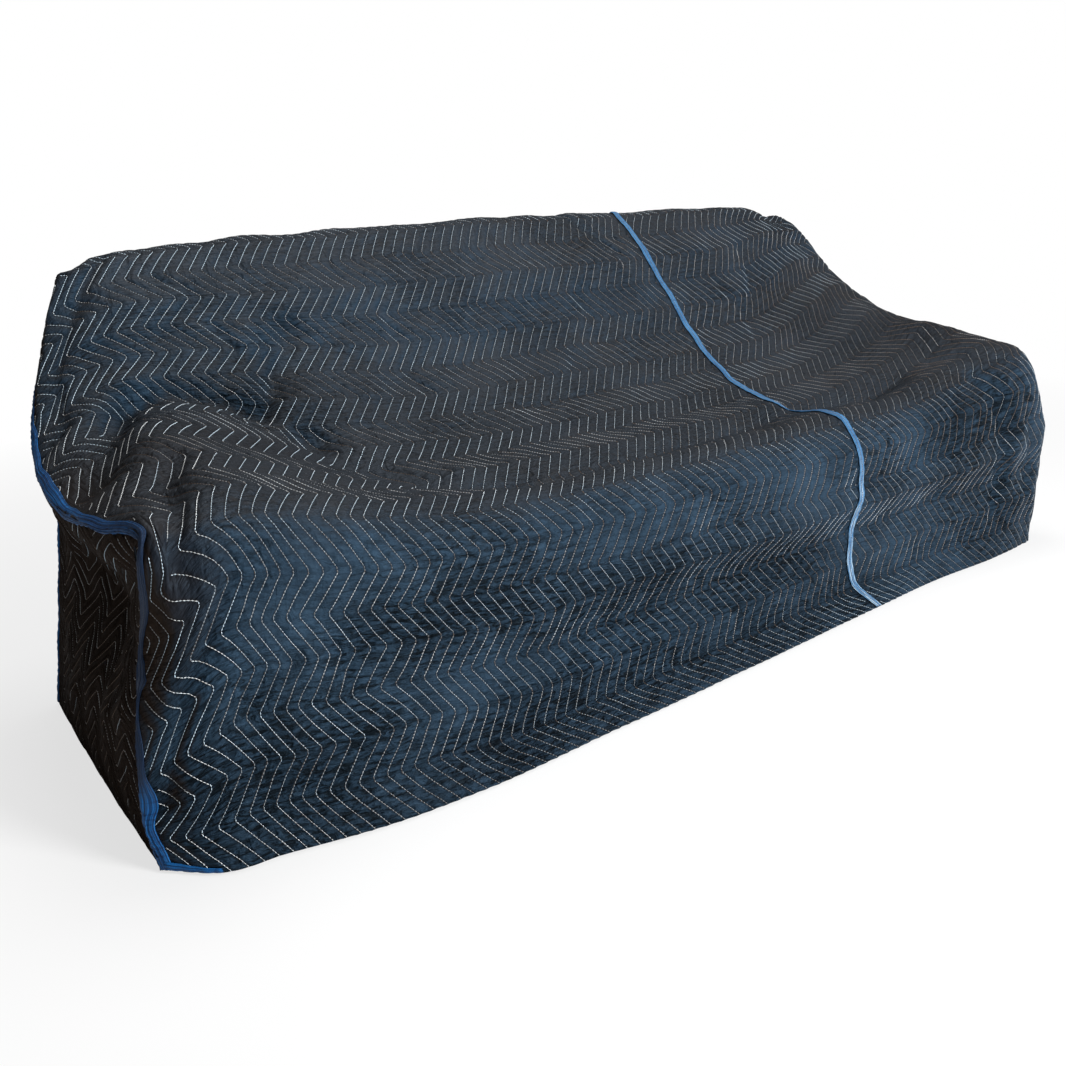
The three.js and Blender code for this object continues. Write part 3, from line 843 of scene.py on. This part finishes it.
def stitch_places(lines):
    """Place, up and forward of each stitch on the thread lines."""
    places = []
    for points, normals, inside in lines:
        cuts = np.flatnonzero(np.diff(inside.astype(int))) + 1
        for run in np.split(np.arange(len(points)), cuts):
            if len(run) < 2 or not inside[run[0]]:
                continue
            legs = np.linalg.norm(np.diff(points[run], axis=0), axis=1)
            length = np.concatenate([[0], np.cumsum(legs)])
            at = np.arange(STITCH_PITCH / 2, length[-1] - STITCH_PITCH / 2, STITCH_PITCH)

            def on_run(values, where):
                return np.stack([np.interp(where, length, values[run, k]) for k in range(3)], 1)

            forward = on_run(points, at + AHEAD) - on_run(points, at - AHEAD)
            places.append(np.stack([on_run(points, at), on_run(normals, at), forward], 1))
    return np.concatenate(places)


def sew(name, lines):
    """One mesh with a stitch at every place of the thread lines."""
    corners, faces = one_stitch()
    places = stitch_places(lines)
    forward = unit(places[:, 2])
    side = unit(np.cross(places[:, 1], forward))
    up = np.cross(forward, side)
    centre = places[:, 0] + STITCH_LIFT * up
    frames = np.stack([side, up, forward], 1)
    stitches = centre[:, None] + np.einsum("kc,ncd->nkd", corners, frames)
    first = np.arange(len(centre)) * len(corners)
    all_faces = [(start + np.array(face)).tolist() for start in first for face in faces]
    data = bpy.data.meshes.new(name)
    data.from_pydata(stitches.reshape(-1, 3).tolist(), [], all_faces)
    data.update()
    print(name, "stitches:", len(centre))
    return add_object(name, data)


rear = int(np.searchsorted(ROWS, REAR_START))
left_lines = THREAD_LINES[panel_left.name]
THREADS = {
    panel_left: [
        sew("threads_left_front", [[part[: rear + 1] for part in line] for line in left_lines]),
        sew("threads_left_rear", [[part[rear:] for part in line] for line in left_lines]),
    ],
    panel_right: [sew("threads_right", THREAD_LINES[panel_right.name])],
    end_left: [sew("threads_end_left", THREAD_LINES[end_left.name])],
    end_right: [sew("threads_end_right", THREAD_LINES[end_right.name])],
}
ALL_THREADS = [threads for pieces in THREADS.values() for threads in pieces]

# %% [markdown]
# ## Binding tapes
#
# The end seams are bound with a tape that is folded over both cloths. Seen from outside it makes
# two soft rolls, one on each side of the seam, with fine ribs, and it is gathered a little all the
# way. The middle seam's tape lies flat with one row of stitches. A tape is a grid too: its columns
# go across the seam and its rows follow it. At the front's left corner the end of the left tape is
# turned round and lies along the hem for a finger's length.

# %% Directions on the end seams
TAPE_ROW = 6.5
SEAM_STEP = 4
# how far inside the end patch its direction is taken: from its front and rear edge, below its top,
# and from the ends of its top
INSIDE_EDGE, INSIDE_TOP, INSIDE_TOP_ENDS = 0.03, 0.04, 0.02


def ripples(along, *waves):
    """The sum of some waves, each with its height, its length over two pi and its start."""
    return sum(height * np.sin(along / length + start) for height, length, start in waves)


def end_directions(side, along):
    """At each place on the seam: the end panel's direction away from it, and its normal."""
    top_start, top_end = TOP_STOPS[0], TOP_STOPS[-1]
    on_front, on_rear = along < top_start, along > top_end
    front_v = np.interp(along, FRONT_STOPS, np.linspace(0, 1, len(FRONT_STOPS)))
    rear_v = (REAR_HEM - along) / (REAR_HEM - top_end)
    v = np.where(on_front, front_v, np.where(on_rear, rear_v, 1))
    u = np.interp(along, TOP_STOPS, np.linspace(0, 1, len(TOP_STOPS)))
    u = np.clip(u, INSIDE_TOP_ENDS, 1 - INSIDE_TOP_ENDS)
    u = np.where(on_front, INSIDE_EDGE, np.where(on_rear, 1 - INSIDE_EDGE, u))
    inside = end_patch(ENDS["left" if side < 0 else "right"], u, np.minimum(v, 1 - INSIDE_TOP))
    away = inside - seam_points(side, along)
    run = unit(seam_points(side, along + SEAM_STEP) - seam_points(side, along - SEAM_STEP))
    away = unit(away - (away * run).sum(1)[:, None] * run)
    normal = np.cross(run, away)
    normal *= np.sign(normal[:, :1] * side)
    return away, unit(normal)


def smoothed(values, width=4):
    """Directions as a running mean along the rows, so that no tape jerks where edges meet."""
    kernel = np.ones(2 * width + 1) / (2 * width + 1)
    padded = np.pad(values, ((width, width), (0, 0)), mode="edge")
    return unit(np.stack([np.convolve(padded[:, k], kernel, "valid") for k in range(3)], 1))


# %% The end tapes
TAPE_HALF = 10
TAPE_RIBS = 2.6
END_TAPE_THICKNESS = 2.2 * MM
FLAT_HALF = 13
# from one place along to another the tape is drawn narrow by a share, fading at both places
NARROWED, NARROW_FROM, NARROW_FROM_FADE, NARROW_TO, NARROW_TO_FADE = 0.64, 110, 90, 525, 50
# on the arm it spreads
SPREAD, SPREAD_AT, SPREAD_REACH = 2.6, 880, 130


def end_tape(name, side, bunches):
    """A folded tape on an end seam. Each bunch has its place along, its reach and its height."""
    along = np.linspace(1, REAR_HEM - 1, int(REAR_HEM / TAPE_ROW))
    away, end_normal = (smoothed(part) for part in end_directions(side, along))
    low, high = (along - NARROW_FROM) / NARROW_FROM_FADE, (NARROW_TO - along) / NARROW_TO_FADE
    slim = 1 - NARROWED * ease(high) * ease(low)
    width = TAPE_HALF + ripples(along, (1.0, 61, 0), (0.7, 23, 1))
    width = slim * (width + SPREAD * bell(along - SPREAD_AT, SPREAD_REACH))
    sway = ripples(along, (1.5, 37, 0), (1.0, 14, 2))
    crowd = sum(height * bell(along - place, reach) for place, reach, height in bunches)
    columns = np.linspace(-1, 1, 19)
    points = np.zeros((len(along), len(columns), 3))
    for k, column in enumerate(columns):
        reach = column * (width + crowd) + sway
        onto_cloth = side * float(HALF_LENGTH) + side * np.minimum(reach, 0)
        base = lay_cloth(onto_cloth, along) + away * np.maximum(reach, 0)[:, None]
        turn = np.clip(0.5 + 1.7 * column, 0, 1)
        out = unit((1 - turn) * cloth_normals(onto_cloth, along) + turn * end_normal)
        roll = np.abs(np.sin(np.pi * column)) ** 0.75
        rib = np.cos(2 * np.pi * (TAPE_RIBS * np.abs(column) + 0.25 * np.sin(along / 47)))
        gather = np.sin(along / 2.9 + 3 * np.sin(along / 33) + 2.5 * column)
        lift = 2.1 + (2.1 * slim + 0.6 * crowd) * roll + 0.7 * slim * rib * roll
        lift += 0.4 * gather * (0.5 + roll)
        lift += 0.7 * np.sin(along / 17 + 1.3 * np.sign(column)) * roll
        points[:, k] = base + lift[:, None] * out
    flat = np.stack(np.broadcast_arrays(FLAT_HALF * columns[None, :], along[:, None]), 2)
    if side < 0:
        points, flat = points[:, ::-1], flat[:, ::-1]
    piece = thicken(grid_piece(name, in_place(points), flat), END_TAPE_THICKNESS)
    print(name, "faces:", len(piece.data.polygons))
    return piece


tape_left = end_tape("binding_left_tape", -1, [(300, 9, 3.4), (318, 6, 1.6), (505, 18, 1.5)])
tape_right = end_tape("binding_right_tape", 1, [(480, 16, 2.0)])

# %% The middle tape
MIDDLE_TAPE_HALF = 8.5
MIDDLE_TAPE_THICKNESS = 1.8 * MM
GROOVE_SHARE = 0.16  # of half the tape, where its stitches press it down


def middle_tape(name):
    """The flat tape of the middle seam, and the line of its stitches."""
    along = np.linspace(1, REAR_HEM - 1, int(REAR_HEM / TAPE_ROW))
    columns = np.linspace(-1, 1, 13)
    normals = cloth_normals(np.full(len(along), float(MIDDLE_SEAM)), along)
    sway = ripples(along, (1.6, 70, 0), (0.9, 26, 1))
    points = np.zeros((len(along), len(columns), 3))
    for k, column in enumerate(columns):
        across = MIDDLE_SEAM + sway + column * (MIDDLE_TAPE_HALF + 0.8 * np.sin(along / 39))
        rib = np.cos(2 * np.pi * 2.5 * column)
        gather = np.sin(along / 3.1 + 2 * np.sin(along / 29) + 1.5 * column)
        lift = 3.6 + 1.1 * (1 - column**4) + 0.3 * rib + 0.35 * gather
        lift -= 1.2 * bell(column, GROOVE_SHARE)
        points[:, k] = lay_cloth(across, along) + lift[:, None] * normals
    points = in_place(points)
    flat = np.stack(np.broadcast_arrays(MIDDLE_TAPE_HALF * columns[None, :], along[:, None]), 2)
    piece = thicken(grid_piece(name, points, flat), MIDDLE_TAPE_THICKNESS)
    line = points[:, len(columns) // 2], normals, np.ones(len(along), bool)
    return piece, [line]


tape_middle, tape_line = middle_tape("binding_middle_tape")
tape_stitches = sew("threads_binding_middle", tape_line)
print("middle tape faces:", len(tape_middle.data.polygons))

# %% The tail of the left tape
TAIL_IN, TAIL_LENGTH, TAIL_HEIGHT = 4, 56, 17
TAIL_THICKNESS = 2 * MM


def hem_tail(name, start, length):
    """The end of the left tape, turned round the corner and laid along the front hem."""
    across = np.linspace(start, start + length, 16)
    climbs = np.linspace(0, 1, 7)
    fade = np.linspace(1, 0.45, len(across))
    points = np.zeros((len(across), len(climbs), 3))
    for k, climb in enumerate(climbs):
        along = 1.5 + climb * TAIL_HEIGHT * fade
        lift = 3.0 + 2.2 * np.sin(np.pi * climb) * fade + 0.5 * np.sin(across / 2.6)
        points[:, k] = lay_cloth(across, along) + lift[:, None] * cloth_normals(across, along)
    flat = np.stack(np.broadcast_arrays(climbs[None, :] * FLAT_HALF, across[:, None]), 2)
    return thicken(grid_piece(name, in_place(points)[::-1], flat[::-1]), TAIL_THICKNESS)


tape_tail = hem_tail("binding_left_tail", -HALF_LENGTH + TAIL_IN, TAIL_LENGTH)
print("tail faces:", len(tape_tail.data.polygons))

# %% [markdown]
# ## The cloth's finish
#
# The pad's face is a close-woven dark polyester, nearly black with a blue cast and hardly any
# shine. Tiny wrinkles cross each channel, because the padding has been pressed and the thread
# shrinks. Painted shade darkens the wrinkles' hollows, the groove beside each thread, the most
# crumpled places and the cloth turned in at the arms, and makes cloth that faces left dark brown.
# Surfaces that look up are greyer and darker, partly from dust and partly from painted shade. All
# patterns read the flat cloth's UV map, so they follow the folds.
#
# A material is built by a small class: it adds a node by its kind, and feeds its sockets with
# numbers, colours or what other nodes put out.


# %% Node helper
class Finish:
    """A node material under construction."""

    def __init__(self, name):
        self.material = bpy.data.materials.new(name)
        self.material.use_nodes = True
        self.tree = self.material.node_tree
        self.shader = self.tree.nodes["Principled BSDF"]

    def add(self, kind, **values):
        node = self.tree.nodes.new("ShaderNode" + kind)
        for key, value in values.items():
            if key in node.inputs:
                node.inputs[key].default_value = value
            else:
                setattr(node, key, value)
        return node

    def link(self, start, end):
        self.tree.links.new(start, end)

    def feed(self, socket, value):
        """Gives a socket a number, a colour or what another node puts out."""
        if isinstance(value, (int, float)):
            socket.default_value = value
        elif isinstance(value, tuple):
            socket.default_value = (*value, 1)
        else:
            self.link(value, socket)

    def put(self, name, value):
        """Feeds a socket of the shader."""
        self.feed(self.shader.inputs[name], value)

    def math(self, operation, first, second=0.0):
        node = self.add("Math", operation=operation)
        for value, socket in zip((first, second), node.inputs):
            self.feed(socket, value)
        return node.outputs[0]

    def blend(self, share, first, second):
        """The first colour, giving way to the second by a share."""
        node = self.add("Mix", data_type="RGBA")
        share_socket, first_socket, second_socket = (node.inputs[k] for k in (0, 6, 7))
        self.feed(share_socket, share)
        self.feed(first_socket, first)
        self.feed(second_socket, second)
        return node.outputs[2]

    def range(self, value, low, high, to_low=0.0, to_high=1.0):
        node = self.add("MapRange")
        for socket, number in zip(node.inputs[:5], (value, low, high, to_low, to_high)):
            self.feed(socket, number)
        return node.outputs[0]

    def split(self, vector):
        """The X, Y and Z of a vector."""
        node = self.add("SeparateXYZ")
        self.link(vector, node.inputs[0])
        return node.outputs

    def length(self, vector):
        node = self.add("VectorMath", operation="LENGTH")
        self.link(vector, node.inputs[0])
        return node.outputs["Value"]

    def flat_cloth(self, scale=(1, 1, 1), shift=(0, 0, 0)):
        """The flat cloth's place, in metres, scaled and shifted."""
        uv = self.add("UVMap", uv_map="flat cloth")
        mapping = self.add("Mapping", Scale=scale, Location=shift)
        self.link(uv.outputs[0], mapping.inputs[0])
        return mapping.outputs[0]

    def noise(self, vector, scale, detail=2.0, roughness=0.5, distortion=0.0):
        node = self.add(
            "TexNoise", Scale=scale, Detail=detail, Roughness=roughness, Distortion=distortion
        )
        self.link(vector, node.inputs["Vector"])
        return node.outputs[0]

    def cloth_noise(self, scale, detail, roughness=0.5, distortion=0.0):
        """Noise on the flat cloth, of one scale or of one across and another along."""
        if isinstance(scale, tuple):
            return self.noise(self.flat_cloth((*scale, 1)), 1.0, detail, roughness, distortion)
        return self.noise(self.flat_cloth(), scale, detail, roughness, distortion)

    def bump(self, height, distance, strength, below=None):
        node = self.add("Bump", Distance=distance, Strength=strength)
        self.link(height, node.inputs["Height"])
        if below is not None:
            self.link(below, node.inputs["Normal"])
        return node.outputs[0]


# %% Where the finish changes
# places of the flat cloth, in metres: across, along, how far round each way, and how strongly
# where the padding is crumpled most: its wrinkles are drawn deepest, and painted shade darkens it
CRUMPLED_AND_SHADED = [
    (-0.62, 0.30, 0.36, 0.10, 1.0), (-0.24, 0.28, 0.36, 0.10, 1.0), (0.12, 0.21, 0.34, 0.11, 1.0),
    (-0.98, 0.10, 0.34, 0.16, 1.0), (-0.50, 0.05, 0.45, 0.13, 0.8), (0.15, 0.04, 0.50, 0.10, 0.8),
    (0.86, 0.36, 0.26, 0.20, 1.0), (0.98, 0.12, 0.20, 0.20, 0.8), (-0.74, 0.98, 0.20, 0.14, 1.0),
]
# and where it is turned in at the arm, out of the light: painted shade darkens it, and its wrinkles
# are drawn weaker
TURNED_IN = [
    (-1.19, 0.47, 0.15, 0.18, 1.0), (-1.19, 0.76, 0.15, 0.20, 1.0), (-1.04, 0.70, 0.20, 0.20, 0.5),
    (-0.90, 0.80, 0.30, 0.12, 0.4), (1.06, 0.66, 0.16, 0.20, 0.4),
]


def near_places(finish, places):
    """The strength of each place, fading out round it."""
    total = 0.0
    for across, along, over, up, strength in places:
        centred = finish.flat_cloth((1 / over, 1 / up, 1), (-across / over, -along / up, 0))
        here = finish.range(finish.length(centred), 0.25, 1.0, strength, 0.0)
        total = finish.math("MAXIMUM", here, total)
    return total


def looking(finish, axis, start, full):
    """0 where the surface's normal goes no further than start along an axis, 1 from full on."""
    normal = finish.add("NewGeometry").outputs["Normal"]
    return finish.range(finish.split(normal)[axis], start, full)


def looking_up(finish):
    return looking(finish, "Z", 0.25, 0.78)


def looking_left(finish, start=-0.3, full=-0.7):
    return looking(finish, "X", start, full)


def from_thread(finish):
    """0 on a thread of a long panel, 1 halfway to the next."""
    flat = finish.split(finish.flat_cloth((1 / MM, 1 / MM, 1)))
    turned = finish.math("PINGPONG", finish.math("SUBTRACT", flat["Y"], FIRST_TURN), HALF_WAVE)
    side = finish.range(turned, TURN / 2, HALF_WAVE - TURN / 2, -WAVE_REACH, WAVE_REACH)
    place = finish.math("SUBTRACT", finish.math("SUBTRACT", flat["X"], THREAD_START), side)
    return finish.range(finish.math("PINGPONG", place, THREAD_PITCH / 2), 0, THREAD_PITCH / 2)


# %% Quilted polyester
NAVY = (0.025, 0.051, 0.085)
NAVY_MOTTLED = (0.026, 0.052, 0.084)
NAVY_DEEP = (0.011, 0.022, 0.037)
WRINKLE_SHADE = (0.0025, 0.0045, 0.007)
GROOVE_SHADE = (0.0045, 0.0062, 0.0088)
DUSTY_AND_SHADED = (0.0262, 0.0242, 0.0236)
SHADED = (0.027, 0.0190, 0.0145)
ARM_PAINTED_SHADE = (0.0130, 0.0080, 0.0054)
COOL_SHINE = (0.45, 0.72, 1.0)
LIP_FROM, LIP_TO = 0.40, 0.52  # dust and painted shade lie above the lip of the front, metres along


def quilted_polyester(name, on_long_panel):
    finish = Finish(name)
    patches = finish.cloth_noise(5.5, 4, 0.6, 0.6)
    mottle = finish.cloth_noise(160, 3, 0.65)
    crumpled_and_shaded = near_places(finish, CRUMPLED_AND_SHADED)
    turned_in = near_places(finish, TURNED_IN)
    wrinkles = finish.cloth_noise((30, 125), 3, 0.55, 0.9)
    creases = finish.cloth_noise((34, 20), 2, 0.5, 1.2)
    weave = finish.cloth_noise(900, 2, 0.6)

    # the padding's drawing together, which deepens the wrinkles and their painted shade: uneven,
    # strongest where crumpled, weak where turned in
    drawn = finish.range(finish.cloth_noise(4.2, 2), 0.35, 0.65, 0.3, 1.0)
    drawn = finish.math("ADD", drawn, finish.math("MULTIPLY", crumpled_and_shaded, 0.8))
    drawn = finish.math("MULTIPLY", drawn, finish.range(turned_in, 0.5, 0.9, 1.0, 0.15))

    shade = finish.blend(finish.range(patches, 0.35, 0.7), NAVY_DEEP, NAVY)
    shade = finish.blend(finish.range(mottle, 0.3, 0.75, 0.0, 0.35), shade, NAVY_MOTTLED)
    # painted shade: the most crumpled places are darkened
    shade = finish.blend(finish.math("MULTIPLY", crumpled_and_shaded, 0.5), shade, NAVY_DEEP)
    # painted shade in the wrinkles' hollows
    hollow = finish.math("MULTIPLY", finish.range(wrinkles, 0.36, 0.55, 1.0, 0.0), drawn)
    shade = finish.blend(hollow, shade, WRINKLE_SHADE)
    # dust and painted shade: surfaces that look up, above the lip, are greyer and darker
    above_lip = finish.range(finish.split(finish.flat_cloth())["Y"], LIP_FROM, LIP_TO, 0.1, 1.0)
    dust_and_shade = finish.math("MULTIPLY", looking_up(finish), finish.range(patches, 0.25, 0.7, 0.55, 0.9))
    shade = finish.blend(finish.math("MULTIPLY", dust_and_shade, above_lip), shade, DUSTY_AND_SHADED)
    if on_long_panel:
        # painted shade in the groove beside each thread
        groove_shade = finish.range(from_thread(finish), 0.05, 0.45, 0.62, 0.0)
        shade = finish.blend(groove_shade, shade, GROOVE_SHADE)
    # painted shade where the cloth is turned in at the arms
    shade = finish.blend(finish.math("MULTIPLY", turned_in, 0.85), shade, ARM_PAINTED_SHADE)
    # painted shade: cloth that faces left is darker and browner
    left = looking_left(finish, -0.68, -0.95) if on_long_panel else looking_left(finish)
    shade = finish.blend(finish.math("MULTIPLY", left, 0.97), shade, SHADED)

    finish.put("Base Color", shade)
    finish.put("Roughness", finish.range(mottle, 0.2, 0.8, 0.42, 0.56))
    finish.put("Specular IOR Level", finish.range(left, 0, 1, 0.15, 0.004))
    finish.put("Specular Tint", COOL_SHINE)
    bump = finish.bump(finish.math("MULTIPLY", wrinkles, drawn), 17 * MM, 1.0)
    bump = finish.bump(creases, 14 * MM, 0.6, bump)
    finish.put("Normal", finish.bump(weave, 0.6 * MM, 0.35, bump))
    return finish.material


polyester = quilted_polyester("quilted_polyester", True)
end_polyester = quilted_polyester("quilted_polyester_ends", False)
for piece in (panel_left, panel_right):
    piece.data.materials.append(polyester)
for piece in (end_left, end_right):
    piece.data.materials.append(end_polyester)
print("finishes:", polyester.name, end_polyester.name)

# %% [markdown]
# ## Thread and tape
#
# The thread is undyed spun polyester, greyed by use; dust and painted light grey it further where
# it looks up, and painted shade darkens it where it faces left. The tape is a ribbed blue webbing:
# ribs run along it and fine wefts cross it, it is paler on its crests, its tone varies in patches,
# and painted shade darkens its hollows and its puckers. Painted shade darkens the end tapes where
# the arm hides them. The middle tape is paler in streaks low on the front.


# %% Quilting thread
THREAD_CLEAN, THREAD_WORN = (0.60, 0.76, 0.88), (0.47, 0.60, 0.70)
THREAD_DUST_AND_LIGHT, THREAD_SHADED = (0.66, 0.67, 0.67), (0.15, 0.105, 0.078)


def quilting_thread():
    finish = Finish("quilting_thread")
    place = finish.add("TexCoord").outputs["Object"]
    worn = finish.range(finish.noise(place, 9, 3), 0.3, 0.7)
    shade = finish.blend(worn, THREAD_CLEAN, THREAD_WORN)
    # dust and painted light: threads that look up are greyer
    shade = finish.blend(looking_up(finish), shade, THREAD_DUST_AND_LIGHT)
    # painted shade: threads that face left are darker and browner
    finish.put("Base Color", finish.blend(looking_left(finish), shade, THREAD_SHADED))
    finish.put("Roughness", 0.75)
    finish.put("Normal", finish.bump(finish.noise(place, 2500, 2), 0.4 * MM, 0.4))
    return finish.material


# %% Blue webbing
END_DEEP, END_BRIGHT = (0.005, 0.030, 0.115), (0.014, 0.18, 0.52)
END_PAINTED_SHADE = (0.012, 0.032, 0.078)
MIDDLE_DEEP, MIDDLE_BRIGHT = (0.025, 0.105, 0.25), (0.105, 0.29, 0.54)
MIDDLE_PALE_LOW = (0.50, 0.66, 0.78)
# metres along: where painted shade darkens the end tapes, out of the light, and how far up the
# middle one is paler
DIM_FROM, DIM_TO, DIM_FADE_LOW, DIM_FADE_HIGH = 0.17, 0.50, 0.06, 0.1
PALE_LOW_TO, PALE_LOW_FADE = 0.30, 0.14
# radians in a metre across the tape, and along it
RIB_TURNS, ROLL_TURNS, WEFT_TURNS = 2900, 1260, 4200


def sine_of(finish, place, turns):
    return finish.math("SINE", finish.math("MULTIPLY", place, turns))


def blue_webbing(name, deep, bright, painted_shade=None, pale_low=None):
    finish = Finish(name)
    flat = finish.split(finish.flat_cloth())
    ribs = sine_of(finish, flat["X"], RIB_TURNS)
    rolls = sine_of(finish, flat["X"], ROLL_TURNS)
    wefts = sine_of(finish, flat["Y"], WEFT_TURNS)
    grime = finish.cloth_noise((30, 9), 4, 0.6, 0.7)
    streaks = finish.cloth_noise((260, 24), 3, 0.6)
    puckers = finish.cloth_noise((40, 190), 2, 0.5, 0.5)
    shade = finish.blend(finish.range(grime, 0.3, 0.68), deep, bright)
    shade = finish.blend(finish.range(streaks, 0.4, 0.75, 0.0, 0.6), shade, deep)
    shade = finish.blend(finish.range(ribs, -1, 1, 0.0, 0.3), shade, bright)
    # painted shade in the tape's puckers
    shade = finish.blend(finish.range(puckers, 0.3, 0.48, 0.7, 0.0), shade, deep)
    # the middle tape is paler in streaks low on the front
    if pale_low:
        low = finish.range(flat["Y"], PALE_LOW_TO, PALE_LOW_TO + PALE_LOW_FADE, 1.0, 0.0)
        pale = finish.math("MULTIPLY", low, finish.range(streaks, 0.46, 0.62, 0.0, 0.85))
        shade = finish.blend(pale, shade, pale_low)
    # painted shade where the arm hides the end tapes
    if painted_shade:
        below = finish.range(flat["Y"], DIM_FROM - DIM_FADE_LOW, DIM_FROM, 1.0, 0.0)
        above = finish.range(flat["Y"], DIM_TO, DIM_TO + DIM_FADE_HIGH, 0.0, 0.8)
        shade = finish.blend(finish.math("MAXIMUM", below, above), painted_shade, shade)
    # painted shade in the hollows between the tape's rolls
    hollow_shade = tuple(part / 5 for part in deep)
    shade = finish.blend(finish.range(rolls, -1.0, 0.1, 0.75, 0.0), shade, hollow_shade)
    finish.put("Base Color", shade)
    finish.put("Roughness", 0.5)
    finish.put("Specular IOR Level", 0.18)
    bump = finish.bump(ribs, 0.6 * MM, 0.5)
    bump = finish.bump(wefts, 0.3 * MM, 0.3, bump)
    finish.put("Normal", finish.bump(streaks, 1.5 * MM, 0.4, bump))
    return finish.material


thread = quilting_thread()
end_webbing = blue_webbing("blue_webbing_end", END_DEEP, END_BRIGHT, painted_shade=END_PAINTED_SHADE)
middle_webbing = blue_webbing(
    "blue_webbing_middle", MIDDLE_DEEP, MIDDLE_BRIGHT, pale_low=MIDDLE_PALE_LOW
)
for piece in [*ALL_THREADS, tape_stitches]:
    piece.data.materials.append(thread)
for piece in (tape_left, tape_right, tape_tail):
    piece.data.materials.append(end_webbing)
tape_middle.data.materials.append(middle_webbing)
print("finishes:", [material.name for material in bpy.data.materials])

# %% [markdown]
# ## What stands for what
#
# The dressed cloths replace the CAD nodes one for one, and everything rides on the cover's one
# body.

# %% Replacing the CAD nodes
PIECES = {
    panel_left: "long_panel_left",
    panel_right: "long_panel_right",
    end_left: "end_panel_left",
    end_right: "end_panel_right",
    tape_left: "binding_left",
    tape_middle: "binding_middle",
    tape_right: "binding_right",
}
for piece, node in PIECES.items():
    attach(piece, "root")
    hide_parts(node)
for piece in [*ALL_THREADS, tape_stitches]:
    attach(piece, "root")
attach(tape_tail, "root")

# %% [markdown]
# ## Floor, light and camera
#
# The cover stands on a pale floor that keeps its shadow and fades to white further out. A soft
# lamp in front lights the front, a weaker one above lights the seat and the back, and the world
# fills the shadows a little.

# %% The floor
FLOOR_HALF = 30
PALE = (0.9, 0.9, 0.9)
FADE_FROM, FADE_TO = 1.3, 3.6  # metres from the middle, over which the floor turns white


def floor():
    mesh = bmesh.new()
    bmesh.ops.create_grid(mesh, x_segments=1, y_segments=1, size=FLOOR_HALF)
    data = bpy.data.meshes.new("floor")
    mesh.to_mesh(data)
    mesh.free()
    finish = Finish("pale_floor")
    finish.put("Base Color", PALE)
    finish.put("Roughness", 0.9)
    finish.put("Specular IOR Level", 0.0)
    away = finish.length(finish.add("TexCoord").outputs["Object"])
    pale = finish.range(away, FADE_FROM, FADE_TO, 0.7, 1.0)
    seen = finish.add("LightPath").outputs["Is Camera Ray"]
    white = finish.add("Emission", Color=(1, 1, 1, 1), Strength=1.0)
    joined = finish.add("MixShader")
    finish.feed(joined.inputs[0], finish.math("MULTIPLY", pale, seen))
    finish.link(finish.shader.outputs[0], joined.inputs[1])
    finish.link(white.outputs[0], joined.inputs[2])
    finish.link(joined.outputs[0], finish.tree.nodes["Material Output"].inputs["Surface"])
    data.materials.append(finish.material)
    piece = add_object("floor", data)
    piece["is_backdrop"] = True
    print("floor:", 2 * FLOOR_HALF, "m wide")


floor()


# %% Lamps and world
WORLD_FILL = 0.16


def lamp(name, place, target, size, power):
    data = bpy.data.lights.new(name, "AREA")
    data.shape = "DISK"
    data.size = size
    data.energy = power
    piece = add_object(name, data)
    piece.location = place
    piece.rotation_euler = (Vector(target) - Vector(place)).to_track_quat("-Z", "Y").to_euler()


def plain_world(fill):
    """A white world that the camera sees at full strength, and the cover at a low one."""
    world = bpy.data.worlds.new("plain world")
    bpy.context.scene.world = world
    world.use_nodes = True
    nodes, links = world.node_tree.nodes, world.node_tree.links
    rays = nodes.new("ShaderNodeLightPath")
    level = nodes.new("ShaderNodeMapRange")
    level.inputs["To Min"].default_value = fill
    links.new(rays.outputs["Is Camera Ray"], level.inputs["Value"])
    background = nodes["Background"]
    background.inputs["Color"].default_value = (1, 1, 1, 1)
    links.new(level.outputs[0], background.inputs["Strength"])


lamp("front lamp", (1.0, -4.0, 2.3), (-0.2, -0.2, 0.3), 1.5, 255)
lamp("top lamp", (0.3, 0.6, 4.0), (0, 0, 0.5), 2.4, 85)
plain_world(WORLD_FILL)
bpy.context.scene.view_settings.view_transform = "Standard"
print("lamps:", [light.name for light in bpy.data.lights])

# %% The camera
CAMERA_PLACE = (-1.5414, -1.9029, 0.9343)
PITCH, YAW, ROLL = 0.2914, 0.6139, -0.0567
LENS, SENSOR = 37.87, 36


def sight_lines():
    """The camera's right, up and forward, from its pitch, yaw and roll in radians."""
    level = np.cos(PITCH)
    forward = Vector((np.sin(YAW) * level, np.cos(YAW) * level, -np.sin(PITCH)))
    right = Vector((np.cos(YAW), -np.sin(YAW), 0))
    up = right.cross(forward)
    turned_right = np.cos(ROLL) * right + np.sin(ROLL) * up
    turned_up = -np.sin(ROLL) * right + np.cos(ROLL) * up
    return turned_right, turned_up, forward


right, up, forward = sight_lines()
camera_data = bpy.data.cameras.new("camera")
camera_data.sensor_width = SENSOR
camera_data.lens = LENS
camera = add_object("camera", camera_data)
turn = Matrix((right, up, -forward)).transposed().to_4x4()
camera.matrix_world = Matrix.Translation(CAMERA_PLACE) @ turn
bpy.context.scene.camera = camera
print("camera at", [round(x, 3) for x in camera.matrix_world.translation])

# %% Sizes, and the end
scene_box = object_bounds()
boxes = {"cad": [list(c) for c in cad_box], "scene": [list(c) for c in scene_box]}
for name, box in boxes.items():
    print(name, [[round(x, 4) for x in c] for c in box])
